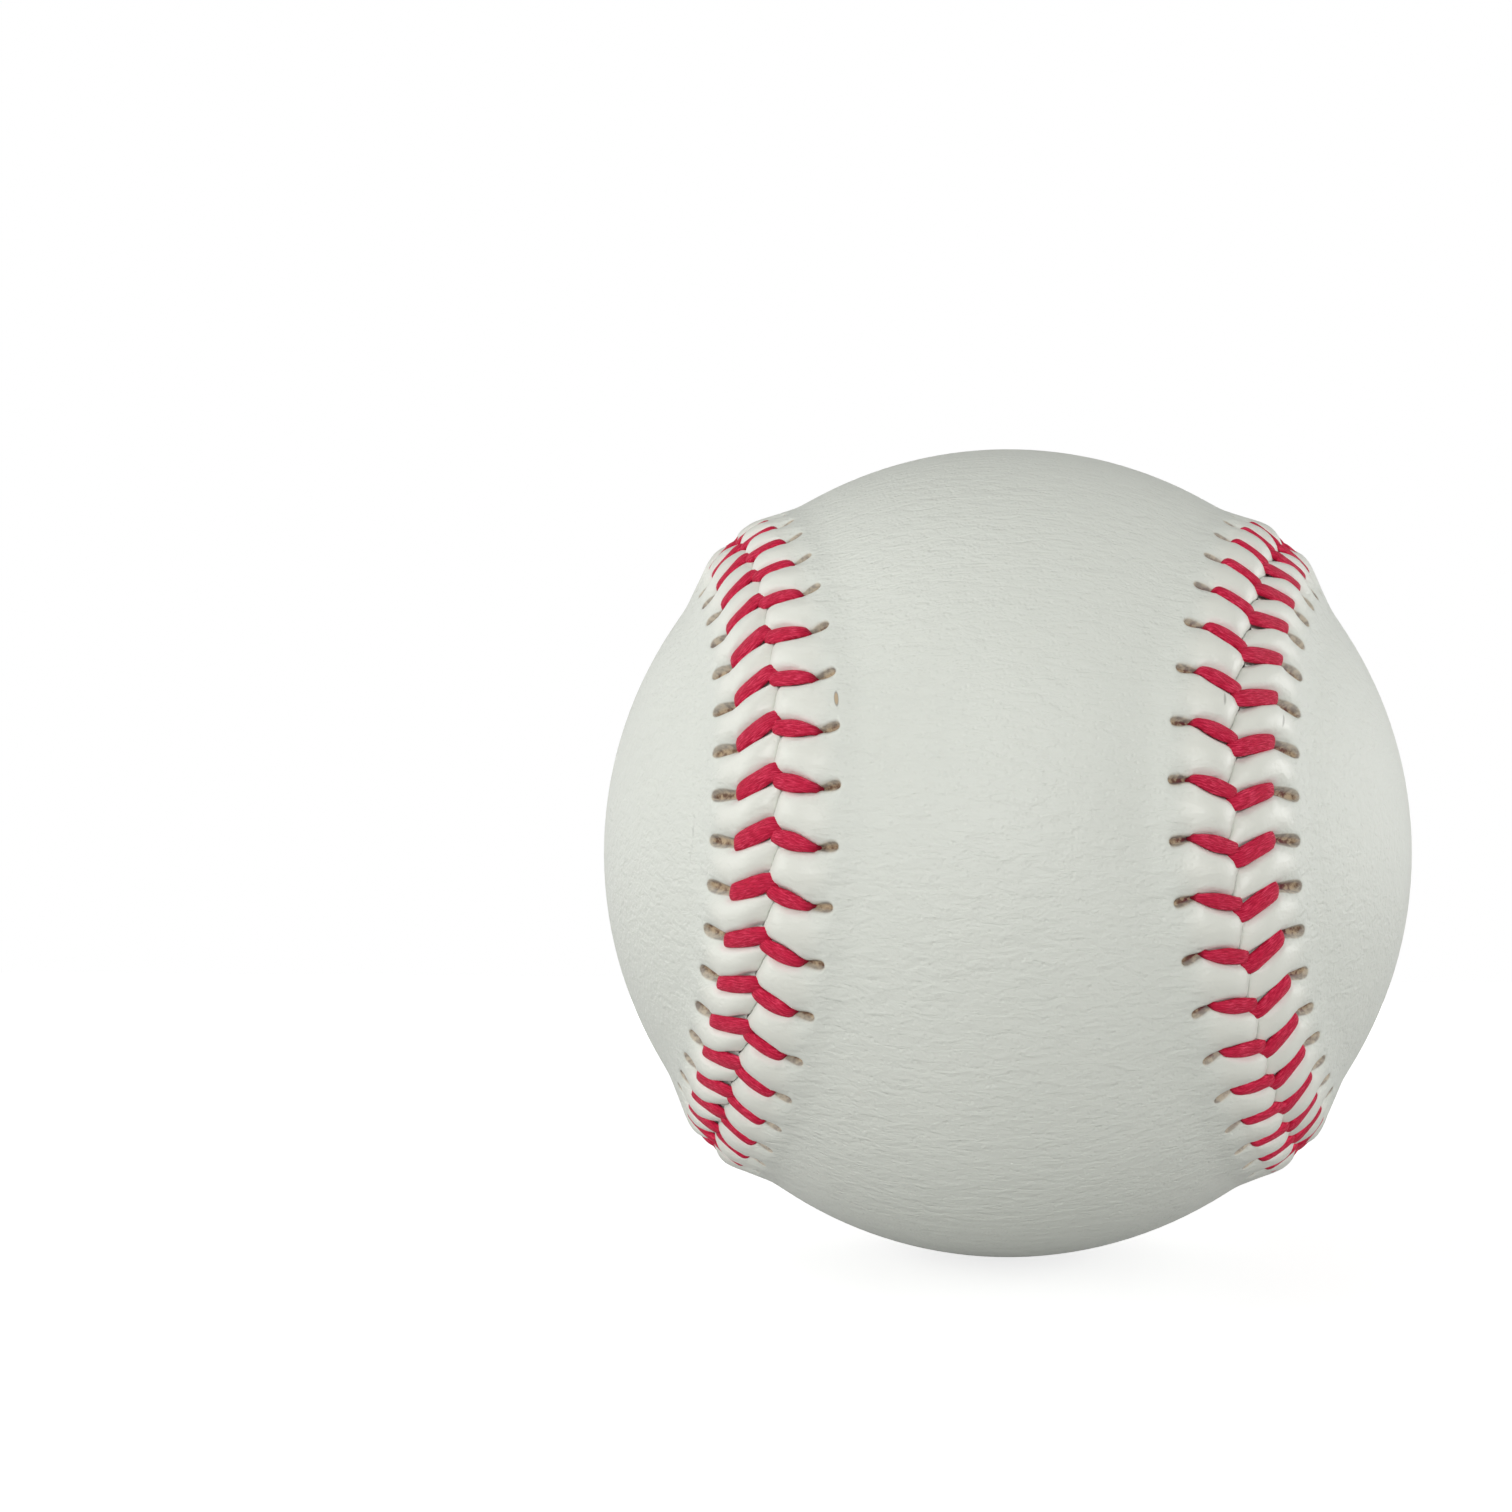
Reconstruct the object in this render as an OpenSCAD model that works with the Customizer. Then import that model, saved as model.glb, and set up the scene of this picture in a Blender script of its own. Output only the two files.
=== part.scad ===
// A baseball, built in layers as it is made: a cork pill in rubber, four windings of yarn,
// and two figure-eight leather panels drawn together by one thread in 108 double stitches.
// Millimetres. The origin is the ball's centre. The waist of panel A faces -Y and its lobes
// lie at +Z and -Z. The waist of panel B faces +Y, with its lobes at +X and -X.

/* [Pill] */
// Diameter of the cork core
cork_d = 20.6; // [18:0.1:23]
// Wall of the two black rubber half shells round the core
black_t = 3.9; // [3:0.1:5]
// Width of the red rubber washer between the black half shells
washer_w = 1.6; // [1:0.1:2.4]
// Wall of the two red rubber half shells over them
red_t = 2.4; // [1.6:0.1:3.2]

/* [Windings] */
// Thickness of the grey four-ply wool
first_wool_t = 14.3; // [12:0.1:16]
// Thickness of the white three-ply wool
second_wool_t = 1.8; // [1.2:0.05:2.4]
// Thickness of the grey three-ply wool
third_wool_t = 2.25; // [1.8:0.05:2.8]
// Thickness of the fine white finishing yarn
finish_yarn_t = 0.45; // [0.35:0.05:0.7]

/* [Cover] */
// Thickness of the leather
leather_t = 1.3; // [1.1:0.05:1.6]
// Thickness to which a stitch presses the leather
pressed_t = 0.8; // [0.7:0.05:1]
// Share of the ball's radius by which the seam swings off a plain circle
swing_share = 0.295; // [0.27:0.001:0.32]
// Distance from the seam at which its raised margin has died away
margin_w = 7.2; // [6.6:0.1:8]
// Height of a pucker's crown over the leather pressed beside it
pucker_h = 0.85; // [0.5:0.05:1.1]
// Gap between the panels' edges where they meet
edge_gap = 0.2; // [0.1:0.05:0.3]

/* [Stitches] */
// Number of double stitches round the seam
stitch_count = 108; // [100:4:112]
// Width of the flattened thread
thread_w = 0.7; // [0.6:0.05:0.75]
// Height of the flattened thread
thread_h = 0.65; // [0.55:0.05:0.7]
// Distance from the seam at which a stitch enters its hole in panel A
reach = 2.95; // [2.85:0.05:3.1]
// Distance from the seam to the far end of that hole, which the pull has drawn out
hole_end = 4.6; // [4.4:0.1:5]
// Distance by which panel B's stitches enter further from the seam
b_reach = 0.3; // [0:0.05:0.4]
// Distance by which the far ends of panel B's holes lie further from the seam
b_stretch = 0.9; // [0.3:0.1:1.2]
// Distance by which a stitch's hole trails its station, on average
lean = 1; // [0.8:0.05:1.2]
// Distance by which that shrinks on one panel and grows on the other, in turn round the seam
lean_swing = 0.5; // [0:0.1:0.5]
// Distance of the first stitch from the middle of panel A's waist, along the seam
first_stitch = 1.15; // [0:0.05:3.5]
// Distance by which the hand-sewn stitches run ahead and behind round the ball
drift = 0.9; // [0:0.1:1.2]

/* [Hidden] */

// Clearance between one layer and the next
layer_gap = 0.05;
// Clearance round the thread
thread_gap = 0.08;
// Room for a run of thread, which crosses the wound ball in a straight line
run_room = 0.15;
// Distance of each stitch's end from its station on the seam, one ahead and one behind
spread = 0.6;
// Distance by which it crosses the seam before it dives
cross_over = 0.1;
// Length of the free tail after the last stitch
tail_l = 0.9;

// The panel's edge at a stitch: how far it draws back, half its length, and its drop
notch_u = 0.7;
notch_half = 1.15;
notch_drop = 0.12;
// Height of a pucker's edge over the leather pressed beside it
edge_rise = 0.2;
// Distance from the seam to a pucker's crown
crown_u = 1.9;
// Panel A's stitch hole: its near end, the sides of that end, half its far end, their heights
hole_near = 2.4;
hole_ahead = 0.64;
hole_behind = 0.62;
hole_drop = 0.1;
hole_end_half = 0.45;
hole_end_rise = 0.05;
// The underside: the edge over a run of thread, and how deep it starts below the windings
under_edge = 0.9;
under_sink = 1;

full_turn = 360;
round_sides = 240;
over_columns = 8;
under_columns = 2;

black_r = cork_d / 2 + black_t;
pill_r = black_r + red_t;
first_r = pill_r + first_wool_t;
second_r = first_r + second_wool_t;
third_r = second_r + third_wool_t;
wound_r = third_r + finish_yarn_t;
ball_r = wound_r + layer_gap + leather_t;
run_r = wound_r + run_room + thread_h / 2;
under_r = run_r + thread_h / 2 + thread_gap;
pressed_r = under_r + pressed_t;
crown_r = pressed_r + pucker_h;
leg_r = pressed_r + thread_gap + thread_h / 2;

function unit(v) = v / norm(v);
function mix(p, q, share) = p + (q - p) * share;
function wrap(i, count) = (i % count + count) % count;
function reversed(list) = [for (i = [len(list) - 1 : -1 : 0]) list[i]];

// The seam on a ball of radius one, q degrees along it. It lies wholly on the ball.
plain_share = 1 - swing_share;
rise_share = 2 * sqrt(plain_share * swing_share);
function seam_at(q) = [
    plain_share * cos(q) - swing_share * cos(3 * q),
    -rise_share * cos(2 * q),
    plain_share * sin(q) + swing_share * sin(3 * q)];
function seam_slope(q) = [
    -plain_share * sin(q) + 3 * swing_share * sin(3 * q),
    2 * rise_share * sin(2 * q),
    plain_share * cos(q) + 3 * swing_share * cos(3 * q)];

// Length along the seam against angle, added up in short steps
seam_step = 1;
seam_table = [for (q = 0, s = 0; q <= full_turn;
    s = s + ball_r * norm(seam_at(q + seam_step) - seam_at(q)), q = q + seam_step) [s, q]];
seam_l = seam_table[full_turn / seam_step][0];
pitch = seam_l / stitch_count;

// Direction from the centre to a place s along the seam and u to one side of it.
// Panel A is on the side where u is positive.
function toward(s, u) =
    let (
        q = lookup(wrap(s, seam_l), seam_table),
        n = seam_at(q),
        across = cross(n, unit(seam_slope(q))),
        g = u / ball_r * 180 / PI)
    n * cos(g) + across * sin(g);

// The place of stitch i along the seam, and of its hole on one side. The holes are even along
// each panel's edge, but the edges bend opposite ways, so each panel's run ahead in turn.
function station(i) =
    first_stitch + i * pitch - drift * cos(full_turn * i / stitch_count);
function hole_at(side, i) =
    let (bend = 2 * sin(2 * lookup(wrap(station(i), seam_l), seam_table)))
    station(i) + lean - side * lean_swing * max(-1, min(1, bend));
function near(side) = hole_near + (side < 0 ? b_reach : 0);
function far_end(side) = hole_end + (side < 0 ? b_stretch : 0);

// The pill and the windings
module ball(r) sphere(r, $fn = round_sides);

module hollow(r_out, r_in) difference() {
    ball(r_out);
    ball(r_in);
}

// The part of a hollow ball between two heights
module slice(r_out, r_in, low, high) intersection() {
    hollow(r_out, r_in);
    translate([0, 0, low]) cylinder(h = high - low, r = 2 * r_out, $fn = round_sides);
}

module cork_core() ball(cork_d / 2);

module black_shell_upper() slice(black_r, cork_d / 2 + layer_gap, washer_w / 2 + layer_gap, ball_r);

module black_shell_lower() mirror([0, 0, 1]) black_shell_upper();

module rubber_washer() slice(black_r, cork_d / 2 + layer_gap, -washer_w / 2, washer_w / 2);

module red_shell_upper() slice(pill_r, black_r + layer_gap, layer_gap / 2, ball_r);

module red_shell_lower() mirror([0, 0, 1]) red_shell_upper();

module grey_wool_inner() hollow(first_r, pill_r + layer_gap);

module white_wool() hollow(second_r, first_r + layer_gap);

module grey_wool_outer() hollow(third_r, second_r + layer_gap);

module finishing_yarn() hollow(wound_r, third_r + layer_gap);

// A cover panel is one closed surface. Rows of points follow its edge, and at every second
// stitch the last row meets the rim of a field of lines that cross the panel.
n = stitch_count;
lines = n / 4;
function tip(side) = side > 0 ? n / 4 : 0;

// Points of the outer rows at stitch i, as [distance ahead or behind, distance from the seam,
// radius]. A pucker stands midway between one stitch and the next.
function edge_row(side, i) = [
    [station(i) - notch_half, notch_u, pressed_r - notch_drop],
    [station(i) + notch_half, notch_u, pressed_r - notch_drop],
    [mix(station(i), station(i + 1), 0.5), edge_gap / 2, pressed_r + edge_rise]];
function hole_row(side, i) = [
    [hole_at(side, i) - hole_ahead, near(side), pressed_r - hole_drop],
    [hole_at(side, i) + hole_behind, near(side), pressed_r - hole_drop],
    [mix(station(i), hole_at(side, i + 1), 0.5), crown_u, crown_r]];
function end_row(side, i) = [
    [hole_at(side, i) - hole_end_half, far_end(side), pressed_r + hole_end_rise],
    [hole_at(side, i) + hole_end_half, far_end(side), pressed_r + hole_end_rise]];

// Points of the underside, which starts above the runs of thread
function under_edge_row(side, i) = [[station(i), under_edge, under_r]];
function under_hole_row(side, i) = [
    for (p = hole_row(side, i)) if (p[1] == near(side)) [p[0], p[1], under_r]];
function under_end_row(side, i) = [for (p = end_row(side, i)) [p[0], p[1], under_r]];

function ring(side, row) = [
    for (i = [0 : n - 1], p = row(side, i)) p[2] * toward(p[0], side * p[1])];

// Points of a field, line by line. The first line and the last are single points.
function field(side, columns, r) =
    let (rim = function (m) toward(station(tip(side) + m) + lean, side * margin_w))
    [
        r * rim(0),
        each [for (k = [1 : lines - 1], j = [0 : columns])
            r * across_ball(rim(2 * k), rim(-2 * k), j / columns)],
        r * rim(2 * lines)
    ];
function across_ball(p, q, share) =
    let (w = acos(p * q))
    (p * sin(w * (1 - share)) + q * sin(w * share)) / sin(w);
function field_index(k, j, columns) =
    k == 0 ? 0 : k == lines ? 1 + (lines - 1) * (columns + 1) : 1 + (k - 1) * (columns + 1) + j;
function rim_index(m, columns) =
    let (k = wrap(m, 2 * lines))
    k <= lines ? field_index(k, 0, columns) : field_index(2 * lines - k, columns, columns);

// Faces between two rings of points, of which each has so many at a stitch
function quad(a, b, c, d) = [[a, b, c], [a, c, d]];
function turned(faces) = [for (f = faces) reversed(f)];
function field_faces(columns) = [
    for (k = [0 : lines - 1], j = [0 : columns - 1])
        let (f = function (k, j) field_index(k, j, columns))
        each [
            if (k > 0) [f(k, j), f(k + 1, j), f(k, j + 1)],
            if (k < lines - 1) [f(k, j + 1), f(k + 1, j), f(k + 1, j + 1)]]];

// Faces from a row of two points at each stitch to the rim, which has one at every second
function rim_faces(row, rim) = [
    for (m = [0 : 2 * lines - 1])
        let (i = 2 * m)
        each [
            [row(i, 0), row(i, 1), rim(m)],
            [row(i, 1), row(i + 1, 0), rim(m)],
            [row(i + 1, 0), rim(m + 1), rim(m)],
            [row(i + 1, 0), row(i + 1, 1), rim(m + 1)],
            [row(i + 1, 1), row(i + 2, 0), rim(m + 1)]]];

// Each row starts at its own place in the list of points
function field_size(columns) = 2 + (lines - 1) * (columns + 1);
hole_start = 3 * n;
end_start = 6 * n;
field_start = 8 * n;
under_edge_start = field_start + field_size(over_columns);
under_hole_start = under_edge_start + n;
under_end_start = under_hole_start + 2 * n;
under_field_start = under_end_start + 2 * n;
function at(start, i, c, columns) = start + wrap(i * columns + c, n * columns);

// All faces follow the same way round, from the underside over the edge to the outside
function panel_faces(side) =
    let (
        edge = function (i, c) at(0, i, c, 3),
        hole = function (i, c) at(hole_start, i, c, 3),
        end = function (i, c) at(end_start, i + tip(side), c, 2),
        rim = function (m) field_start + rim_index(m, over_columns),
        under_edge = function (i) at(under_edge_start, i, 0, 1),
        under_hole = function (i, c) at(under_hole_start, i, c, 2),
        under_end = function (i, c) at(under_end_start, i + tip(side), c, 2),
        under_rim = function (m) under_field_start + rim_index(m, under_columns),
        far = function (i, c) at(end_start, i, c, 2),
        under_far = function (i, c) at(under_end_start, i, c, 2))
    [
        each turned(shifted(field_faces(under_columns), under_field_start)),
        each turned(rim_faces(under_end, under_rim)),
        for (i = [0 : n - 1]) each [
            each quad(under_far(i, 1), under_far(i + 1, 0), under_hole(i + 1, 0), under_hole(i, 1)),
            [under_hole(i, 0), under_hole(i, 1), under_edge(i)],
            [under_hole(i, 1), under_hole(i + 1, 0), under_edge(i)],
            [under_hole(i + 1, 0), under_edge(i + 1), under_edge(i)],
            [under_edge(i), edge(i, 1), edge(i, 0)],
            [under_edge(i), edge(i, 2), edge(i, 1)],
            [under_edge(i), under_edge(i + 1), edge(i, 2)],
            [under_edge(i + 1), edge(i + 1, 0), edge(i, 2)],
            each quad(edge(i, 0), edge(i, 1), hole(i, 1), hole(i, 0)),
            each quad(edge(i, 1), edge(i, 2), hole(i, 2), hole(i, 1)),
            each quad(edge(i, 2), edge(i, 3), hole(i, 3), hole(i, 2)),
            [hole(i, 1), hole(i, 2), far(i, 1)],
            [hole(i, 2), far(i + 1, 0), far(i, 1)],
            [hole(i, 2), hole(i + 1, 0), far(i + 1, 0)],
            each quad(hole(i, 0), hole(i, 1), under_hole(i, 1), under_hole(i, 0)),
            each quad(hole(i, 1), far(i, 1), under_far(i, 1), under_hole(i, 1)),
            each quad(far(i, 1), far(i, 0), under_far(i, 0), under_far(i, 1)),
            each quad(far(i, 0), hole(i, 0), under_hole(i, 0), under_far(i, 0))],
        each rim_faces(end, rim),
        each shifted(field_faces(over_columns), field_start)
    ];
function shifted(faces, start) = [for (f = faces) [for (v = f) v + start]];

module panel(side) {
    points = concat(
        ring(side, function (side, i) edge_row(side, i)),
        ring(side, function (side, i) hole_row(side, i)),
        ring(side, function (side, i) end_row(side, i)),
        field(side, over_columns, ball_r),
        ring(side, function (side, i) under_edge_row(side, i)),
        ring(side, function (side, i) under_hole_row(side, i)),
        ring(side, function (side, i) under_end_row(side, i)),
        field(side, under_columns, wound_r - under_sink));
    faces = panel_faces(side);
    difference() {
        polyhedron(points, side > 0 ? turned(faces) : faces);
        ball(wound_r + layer_gap);
    }
}

module cover_panel_a() panel(1);

module cover_panel_b() panel(-1);

// The thread is sewn with a needle at each end, from the last stitch down to the first. Each
// needle comes up through a hole, goes over to the seam, down between the panels, and under
// the other panel to the next hole. The two needles take turns on each side of the seam.
function hole_way(side, i) =
    toward(hole_at(side, i), side * (reach + near(side) - hole_near));
function dive_way(side, i) = toward(station(i) + side * spread, -side * cross_over);
function needle_side(first, k) = k % 2 == 0 ? first : -first;
function tail_way(side) = toward(
    mix(station(0) + side * spread, hole_at(-side, -1), tail_l / reach), -side * tail_l);
start_way = toward(mix(station(n - 1), station(n), 0.5), 0);

// Corners of one needle's way, as [point, sign]. The sign turns the band over at each dive,
// so that its four edges run on without a twist.
function needle_way(first) = [
    for (k = [0 : n - 1])
        let (i = n - 1 - k, side = needle_side(first, k), sign = needle_side(1, k))
        each [
            [run_r * hole_way(side, i), sign],
            [leg_r * hole_way(side, i), sign],
            [leg_r * dive_way(side, i), sign],
            [run_r * dive_way(side, i), -sign]],
    [run_r * tail_way(needle_side(first, n - 1)), needle_side(1, n)]];

// The four edges of the band at corner j of a way. Where it lies along the ball its width is
// level, and where it bends down or up the bend's own plane sets the width.
function band_ring(way, j) =
    let (
        p = way[j][0],
        last = len(way) - 1,
        up = unit(p),
        next = unit(way[min(last, j + 1)][0] - way[min(last - 1, j)][0]),
        before = j == 0 ? next : unit(p - way[j - 1][0]),
        after = j == last ? before : next,
        lies = max(abs(before * up), abs(after * up)) < 0.5,
        mitre = unit(before + after) * before,
        flat = lies ? unit(cross(before + after, up)) / mitre : unit(cross(before, after)),
        inward = lies ? up : unit(after - before) / mitre,
        a = flat * thread_w / 2 * way[j][1],
        b = inward * thread_h / 2 * way[j][1])
    [p + a + b, p - a + b, p - a - b, p + a - b];

module seam_thread() {
    way = concat(reversed(needle_way(-1)), [[run_r * start_way, 1]], needle_way(1));
    last = len(way) - 1;
    points = [for (j = [0 : last]) each band_ring(way, j)];
    sides = [for (j = [0 : last - 1], e = [0 : 3])
        let (f = (e + 1) % 4)
        each quad(4 * j + e, 4 * j + f, 4 * j + 4 + f, 4 * j + 4 + e)];
    ends = [each quad(3, 2, 1, 0), each shifted(quad(0, 1, 2, 3), 4 * last)];
    polyhedron(points, concat(sides, ends));
}

color("peru") cork_core();
color("dimgray") black_shell_lower();
color("dimgray") black_shell_upper();
color("firebrick") rubber_washer();
color("indianred") red_shell_lower();
color("indianred") red_shell_upper();
color("slategray") grey_wool_inner();
color("linen") white_wool();
color("lightslategray") grey_wool_outer();
color("whitesmoke") finishing_yarn();
color("ivory") cover_panel_a();
color("floralwhite") cover_panel_b();
color("crimson") seam_thread();
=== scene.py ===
"""Looks of a baseball: stitched leather cover, sewn red thread, and the layers inside.

All sizes are in millimetres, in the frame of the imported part, and become metres only where a
mesh is written. The cover and the thread follow one curve, the seam. A place on the cover is
given as the length s along the seam and the distance u to one side of it, with panel A where u
is positive.
"""
import logging
from dataclasses import dataclass
from enum import Enum
from math import pi, radians, sqrt

import bpy
import numpy as np
from mathutils import Matrix, Vector


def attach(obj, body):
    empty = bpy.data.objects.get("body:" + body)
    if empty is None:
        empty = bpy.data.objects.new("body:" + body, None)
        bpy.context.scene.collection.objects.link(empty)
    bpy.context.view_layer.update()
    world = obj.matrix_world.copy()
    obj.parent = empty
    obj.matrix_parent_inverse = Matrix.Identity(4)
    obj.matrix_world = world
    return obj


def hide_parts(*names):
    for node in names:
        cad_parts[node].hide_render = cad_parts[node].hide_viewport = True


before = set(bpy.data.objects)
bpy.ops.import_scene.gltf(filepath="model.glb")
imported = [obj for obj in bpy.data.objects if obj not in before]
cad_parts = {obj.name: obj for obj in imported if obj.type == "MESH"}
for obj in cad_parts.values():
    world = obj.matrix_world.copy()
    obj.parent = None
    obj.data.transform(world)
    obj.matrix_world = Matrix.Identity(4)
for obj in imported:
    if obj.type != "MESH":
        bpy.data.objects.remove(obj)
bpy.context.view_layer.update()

logging.basicConfig(level=logging.INFO, format="%(message)s")
log = logging.getLogger("baseball")

METRES = 0.001
WAVE_PITCH = 0.314
Colour = tuple[float, float, float]
Knots = tuple[tuple[float, float], ...]
Span = tuple[float, float]


class Side(Enum):
    """The two panels of the cover, by the sign of u on each."""

    A = 1
    B = -1


def rgb(red: int, green: int, blue: int) -> Colour:
    """Turn a colour as a screen shows it into the shader's linear scale.

    Args:
        red: from 0 to 255.
        green: the same.
        blue: the same.

    Returns:
        The colour, from 0 to 1.
    """
    channels = np.array([red, green, blue]) / 255
    linear = np.where(channels <= 0.04045, channels / 12.92, ((channels + 0.055) / 1.055) ** 2.4)
    return tuple(float(c) for c in linear)


def mix(a: np.ndarray, b: np.ndarray, share: np.ndarray) -> np.ndarray:
    """Go from a to b by a share from 0 to 1: a + (b - a) share."""
    return a + (b - a) * share


def ease(x: np.ndarray, start: float, end: float) -> np.ndarray:
    """Rise from 0 at start to 1 at end, level at both: 3 t squared minus 2 t cubed."""
    t = np.clip((x - start) / (end - start), 0, 1)
    return t * t * (3 - 2 * t)


def unit(v: np.ndarray) -> np.ndarray:
    """Scale each vector to length one."""
    return v / np.linalg.norm(v, axis=-1, keepdims=True)


def curve_through(x: np.ndarray, knots: Knots) -> np.ndarray:
    """Read a smooth curve that passes through a few points.

    Each stretch is the cubic whose slope at a knot is the mean slope of the stretches that
    meet there, so that neither height nor slope jumps.

    Args:
        x: where to read the curve.
        knots: its points, as (place, height), in order of place.

    Returns:
        The height at each x.
    """
    at, height = np.array(knots, dtype=float).T
    slope = np.gradient(height, at)
    k = np.clip(np.searchsorted(at, x, side="right") - 1, 0, len(at) - 2)
    width = at[k + 1] - at[k]
    t = np.clip((x - at[k]) / width, 0, 1)
    start = (1 + 2 * t) * (1 - t) ** 2 * height[k] + t * (1 - t) ** 2 * width * slope[k]
    end = t * t * (3 - 2 * t) * height[k + 1] + t * t * (t - 1) * width * slope[k + 1]
    return start + end


def volume(points: np.ndarray, faces: np.ndarray) -> float:
    """Add up the signed volume of the pyramids from the centre to each triangle."""
    a, b, c = (points[faces[:, k]] for k in range(3))
    return float(np.einsum("ij,ij->i", a, np.cross(b, c)).sum() / 6)


def strip(low: np.ndarray, high: np.ndarray) -> np.ndarray:
    """Join two rows of point numbers of one length by two triangles a cell.

    Args:
        low: numbers of the first row, on the last axis.
        high: numbers of the second row.

    Returns:
        Triangles, as an array of three columns.
    """
    a, b = low[..., :-1], low[..., 1:]
    c, d = high[..., 1:], high[..., :-1]
    return np.concatenate([
        np.stack([a, b, c], axis=-1).reshape(-1, 3),
        np.stack([a, c, d], axis=-1).reshape(-1, 3)])


def closed(row: np.ndarray) -> np.ndarray:
    """Repeat the first point number of a ring at its end."""
    return np.concatenate([row, row[..., :1]], axis=-1)


def fan(centre: int, row: np.ndarray) -> np.ndarray:
    """Join one point to every stretch of a row of point numbers, one triangle each."""
    return np.stack([np.full(len(row) - 1, centre), row[:-1], row[1:]], axis=1)


def build_mesh(name: str, points: np.ndarray, faces: np.ndarray,
               values: dict[str, np.ndarray]) -> bpy.types.Object:
    """Put a closed surface into a new object, faces outward and shaded smooth.

    Args:
        name: name of the object.
        points: places in millimetres.
        faces: triangles.
        values: attributes of the points, one number a point.

    Returns:
        The object, linked to the scene.
    """
    if volume(points, faces) < 0:
        faces = faces[:, ::-1]
    used, faces = np.unique(faces, return_inverse=True)
    points, faces = points[used], faces.reshape(-1, 3)
    mesh = bpy.data.meshes.new(name)
    mesh.from_pydata((points * METRES).tolist(), [], faces.tolist())
    mesh.polygons.foreach_set("use_smooth", np.ones(len(faces), dtype=bool))
    for key, value in values.items():
        layer = mesh.attributes.new(key, "FLOAT", "POINT")
        layer.data.foreach_set("value", value[used].astype(np.float32))
    mesh.update()
    piece = bpy.data.objects.new(name, mesh)
    bpy.context.scene.collection.objects.link(piece)
    return piece


@dataclass(frozen=True)
class Seam:
    """The closed curve in which the two panels meet, and the places of the stitches on it.

    Attributes:
        ball_r: radius of the smooth leather.
        swing_share: how far the curve swings to the sides, b in its formula.
        stitches: double stitches round the ball.
        first_stitch: length along the seam at which stitch 0 would stand but for the drift.
        drift: how far the stitches run ahead of even spacing, and fall behind it.
        lean: how far a hole lies past its stitch.
        lean_swing: how much more or less than that, by how the edges bend.
        pull_back: how much less far than a hole a slit's end lies past its stitch.
        pull_share: share of the bend that moves both panels' slit ends alike.
        pull_swing: how far the bend moves a slit's end.
        spread: how far from its stitch each of the two legs goes down.
        table_steps: steps of the table that turns lengths into angles.
    """

    ball_r: float = 36.75
    swing_share: float = 0.295
    stitches: int = 108
    first_stitch: float = 1.15
    drift: float = 0.9
    lean: float = 1.0
    lean_swing: float = 0.5
    pull_back: float = 0.15
    pull_share: float = 0.25
    pull_swing: float = 0.75
    spread: float = 0.34
    table_steps: int = 1440

    def at(self, q: np.ndarray) -> np.ndarray:
        """Give the seam on a ball of radius one.

        With b the swing share, a = 1 - b and c = 2 times the root of a b, the point at angle q
        is (a cos q - b cos 3q, -c cos 2q, a sin q + b sin 3q), which lies wholly on the ball.

        Args:
            q: angle along the seam, in radians.

        Returns:
            Unit vectors on the last axis.
        """
        b = self.swing_share
        a, c = 1 - b, 2 * sqrt(b * (1 - b))
        return np.stack([
            a * np.cos(q) - b * np.cos(3 * q), -c * np.cos(2 * q),
            a * np.sin(q) + b * np.sin(3 * q)], axis=-1)

    def slope(self, q: np.ndarray) -> np.ndarray:
        """Give the seam's change with its angle, term by term of its formula.

        Args:
            q: angle along the seam.

        Returns:
            Vectors along the seam.
        """
        b = self.swing_share
        a, c = 1 - b, 2 * sqrt(b * (1 - b))
        return np.stack([
            -a * np.sin(q) + 3 * b * np.sin(3 * q), 2 * c * np.sin(2 * q),
            a * np.cos(q) + 3 * b * np.cos(3 * q)], axis=-1)

    def table(self) -> tuple[np.ndarray, np.ndarray]:
        """List the length along the seam against its angle, added up in short steps.

        Returns:
            Lengths from the start, and the angles at which they are reached.
        """
        q = np.linspace(0, 2 * pi, self.table_steps + 1)
        steps = np.linalg.norm(np.diff(self.at(q), axis=0), axis=1) * self.ball_r
        return np.concatenate([[0], np.cumsum(steps)]), q

    def length(self) -> float:
        """Give the length of the whole seam."""
        return float(self.table()[0][-1])

    def angle(self, s: np.ndarray) -> np.ndarray:
        """Give the seam's angle at a length along it."""
        lengths, angles = self.table()
        return np.interp(np.mod(s, lengths[-1]), lengths, angles)

    def toward(self, s: np.ndarray, u: np.ndarray) -> np.ndarray:
        """Give the direction from the centre to a place beside the seam.

        With n the seam's own direction and w the level way across it, the place is
        n cos(u / r) + w sin(u / r).

        Args:
            s: length along the seam.
            u: distance from it, positive on panel A.

        Returns:
            Unit vectors on the last axis.
        """
        q = self.angle(s)
        n = self.at(q)
        across = np.cross(n, unit(self.slope(q)))
        g = np.asarray(u)[..., None] / self.ball_r
        return n * np.cos(g) + across * np.sin(g)

    def along(self, s: np.ndarray) -> np.ndarray:
        """Give the direction in which the seam runs."""
        return unit(self.slope(self.angle(s)))

    def pitch(self) -> float:
        """Give the mean distance between stitches."""
        return self.length() / self.stitches

    def station(self, i: np.ndarray) -> np.ndarray:
        """Give the length at which stitch i crosses the seam, with its slight drift."""
        turn = 2 * pi * np.asarray(i) / self.stitches
        return self.first_stitch + np.asarray(i) * self.pitch() - self.drift * np.cos(turn)

    def dive(self, side: Side, i: np.ndarray) -> np.ndarray:
        """Give the length at which one side's leg of stitch i goes down the seam."""
        return self.station(i) + side.value * self.spread

    def bend(self, i: np.ndarray) -> np.ndarray:
        """Say which panel's edge bends in: twice the sine of twice the angle, within one."""
        return np.clip(2 * np.sin(2 * self.angle(self.station(i))), -1, 1)

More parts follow.
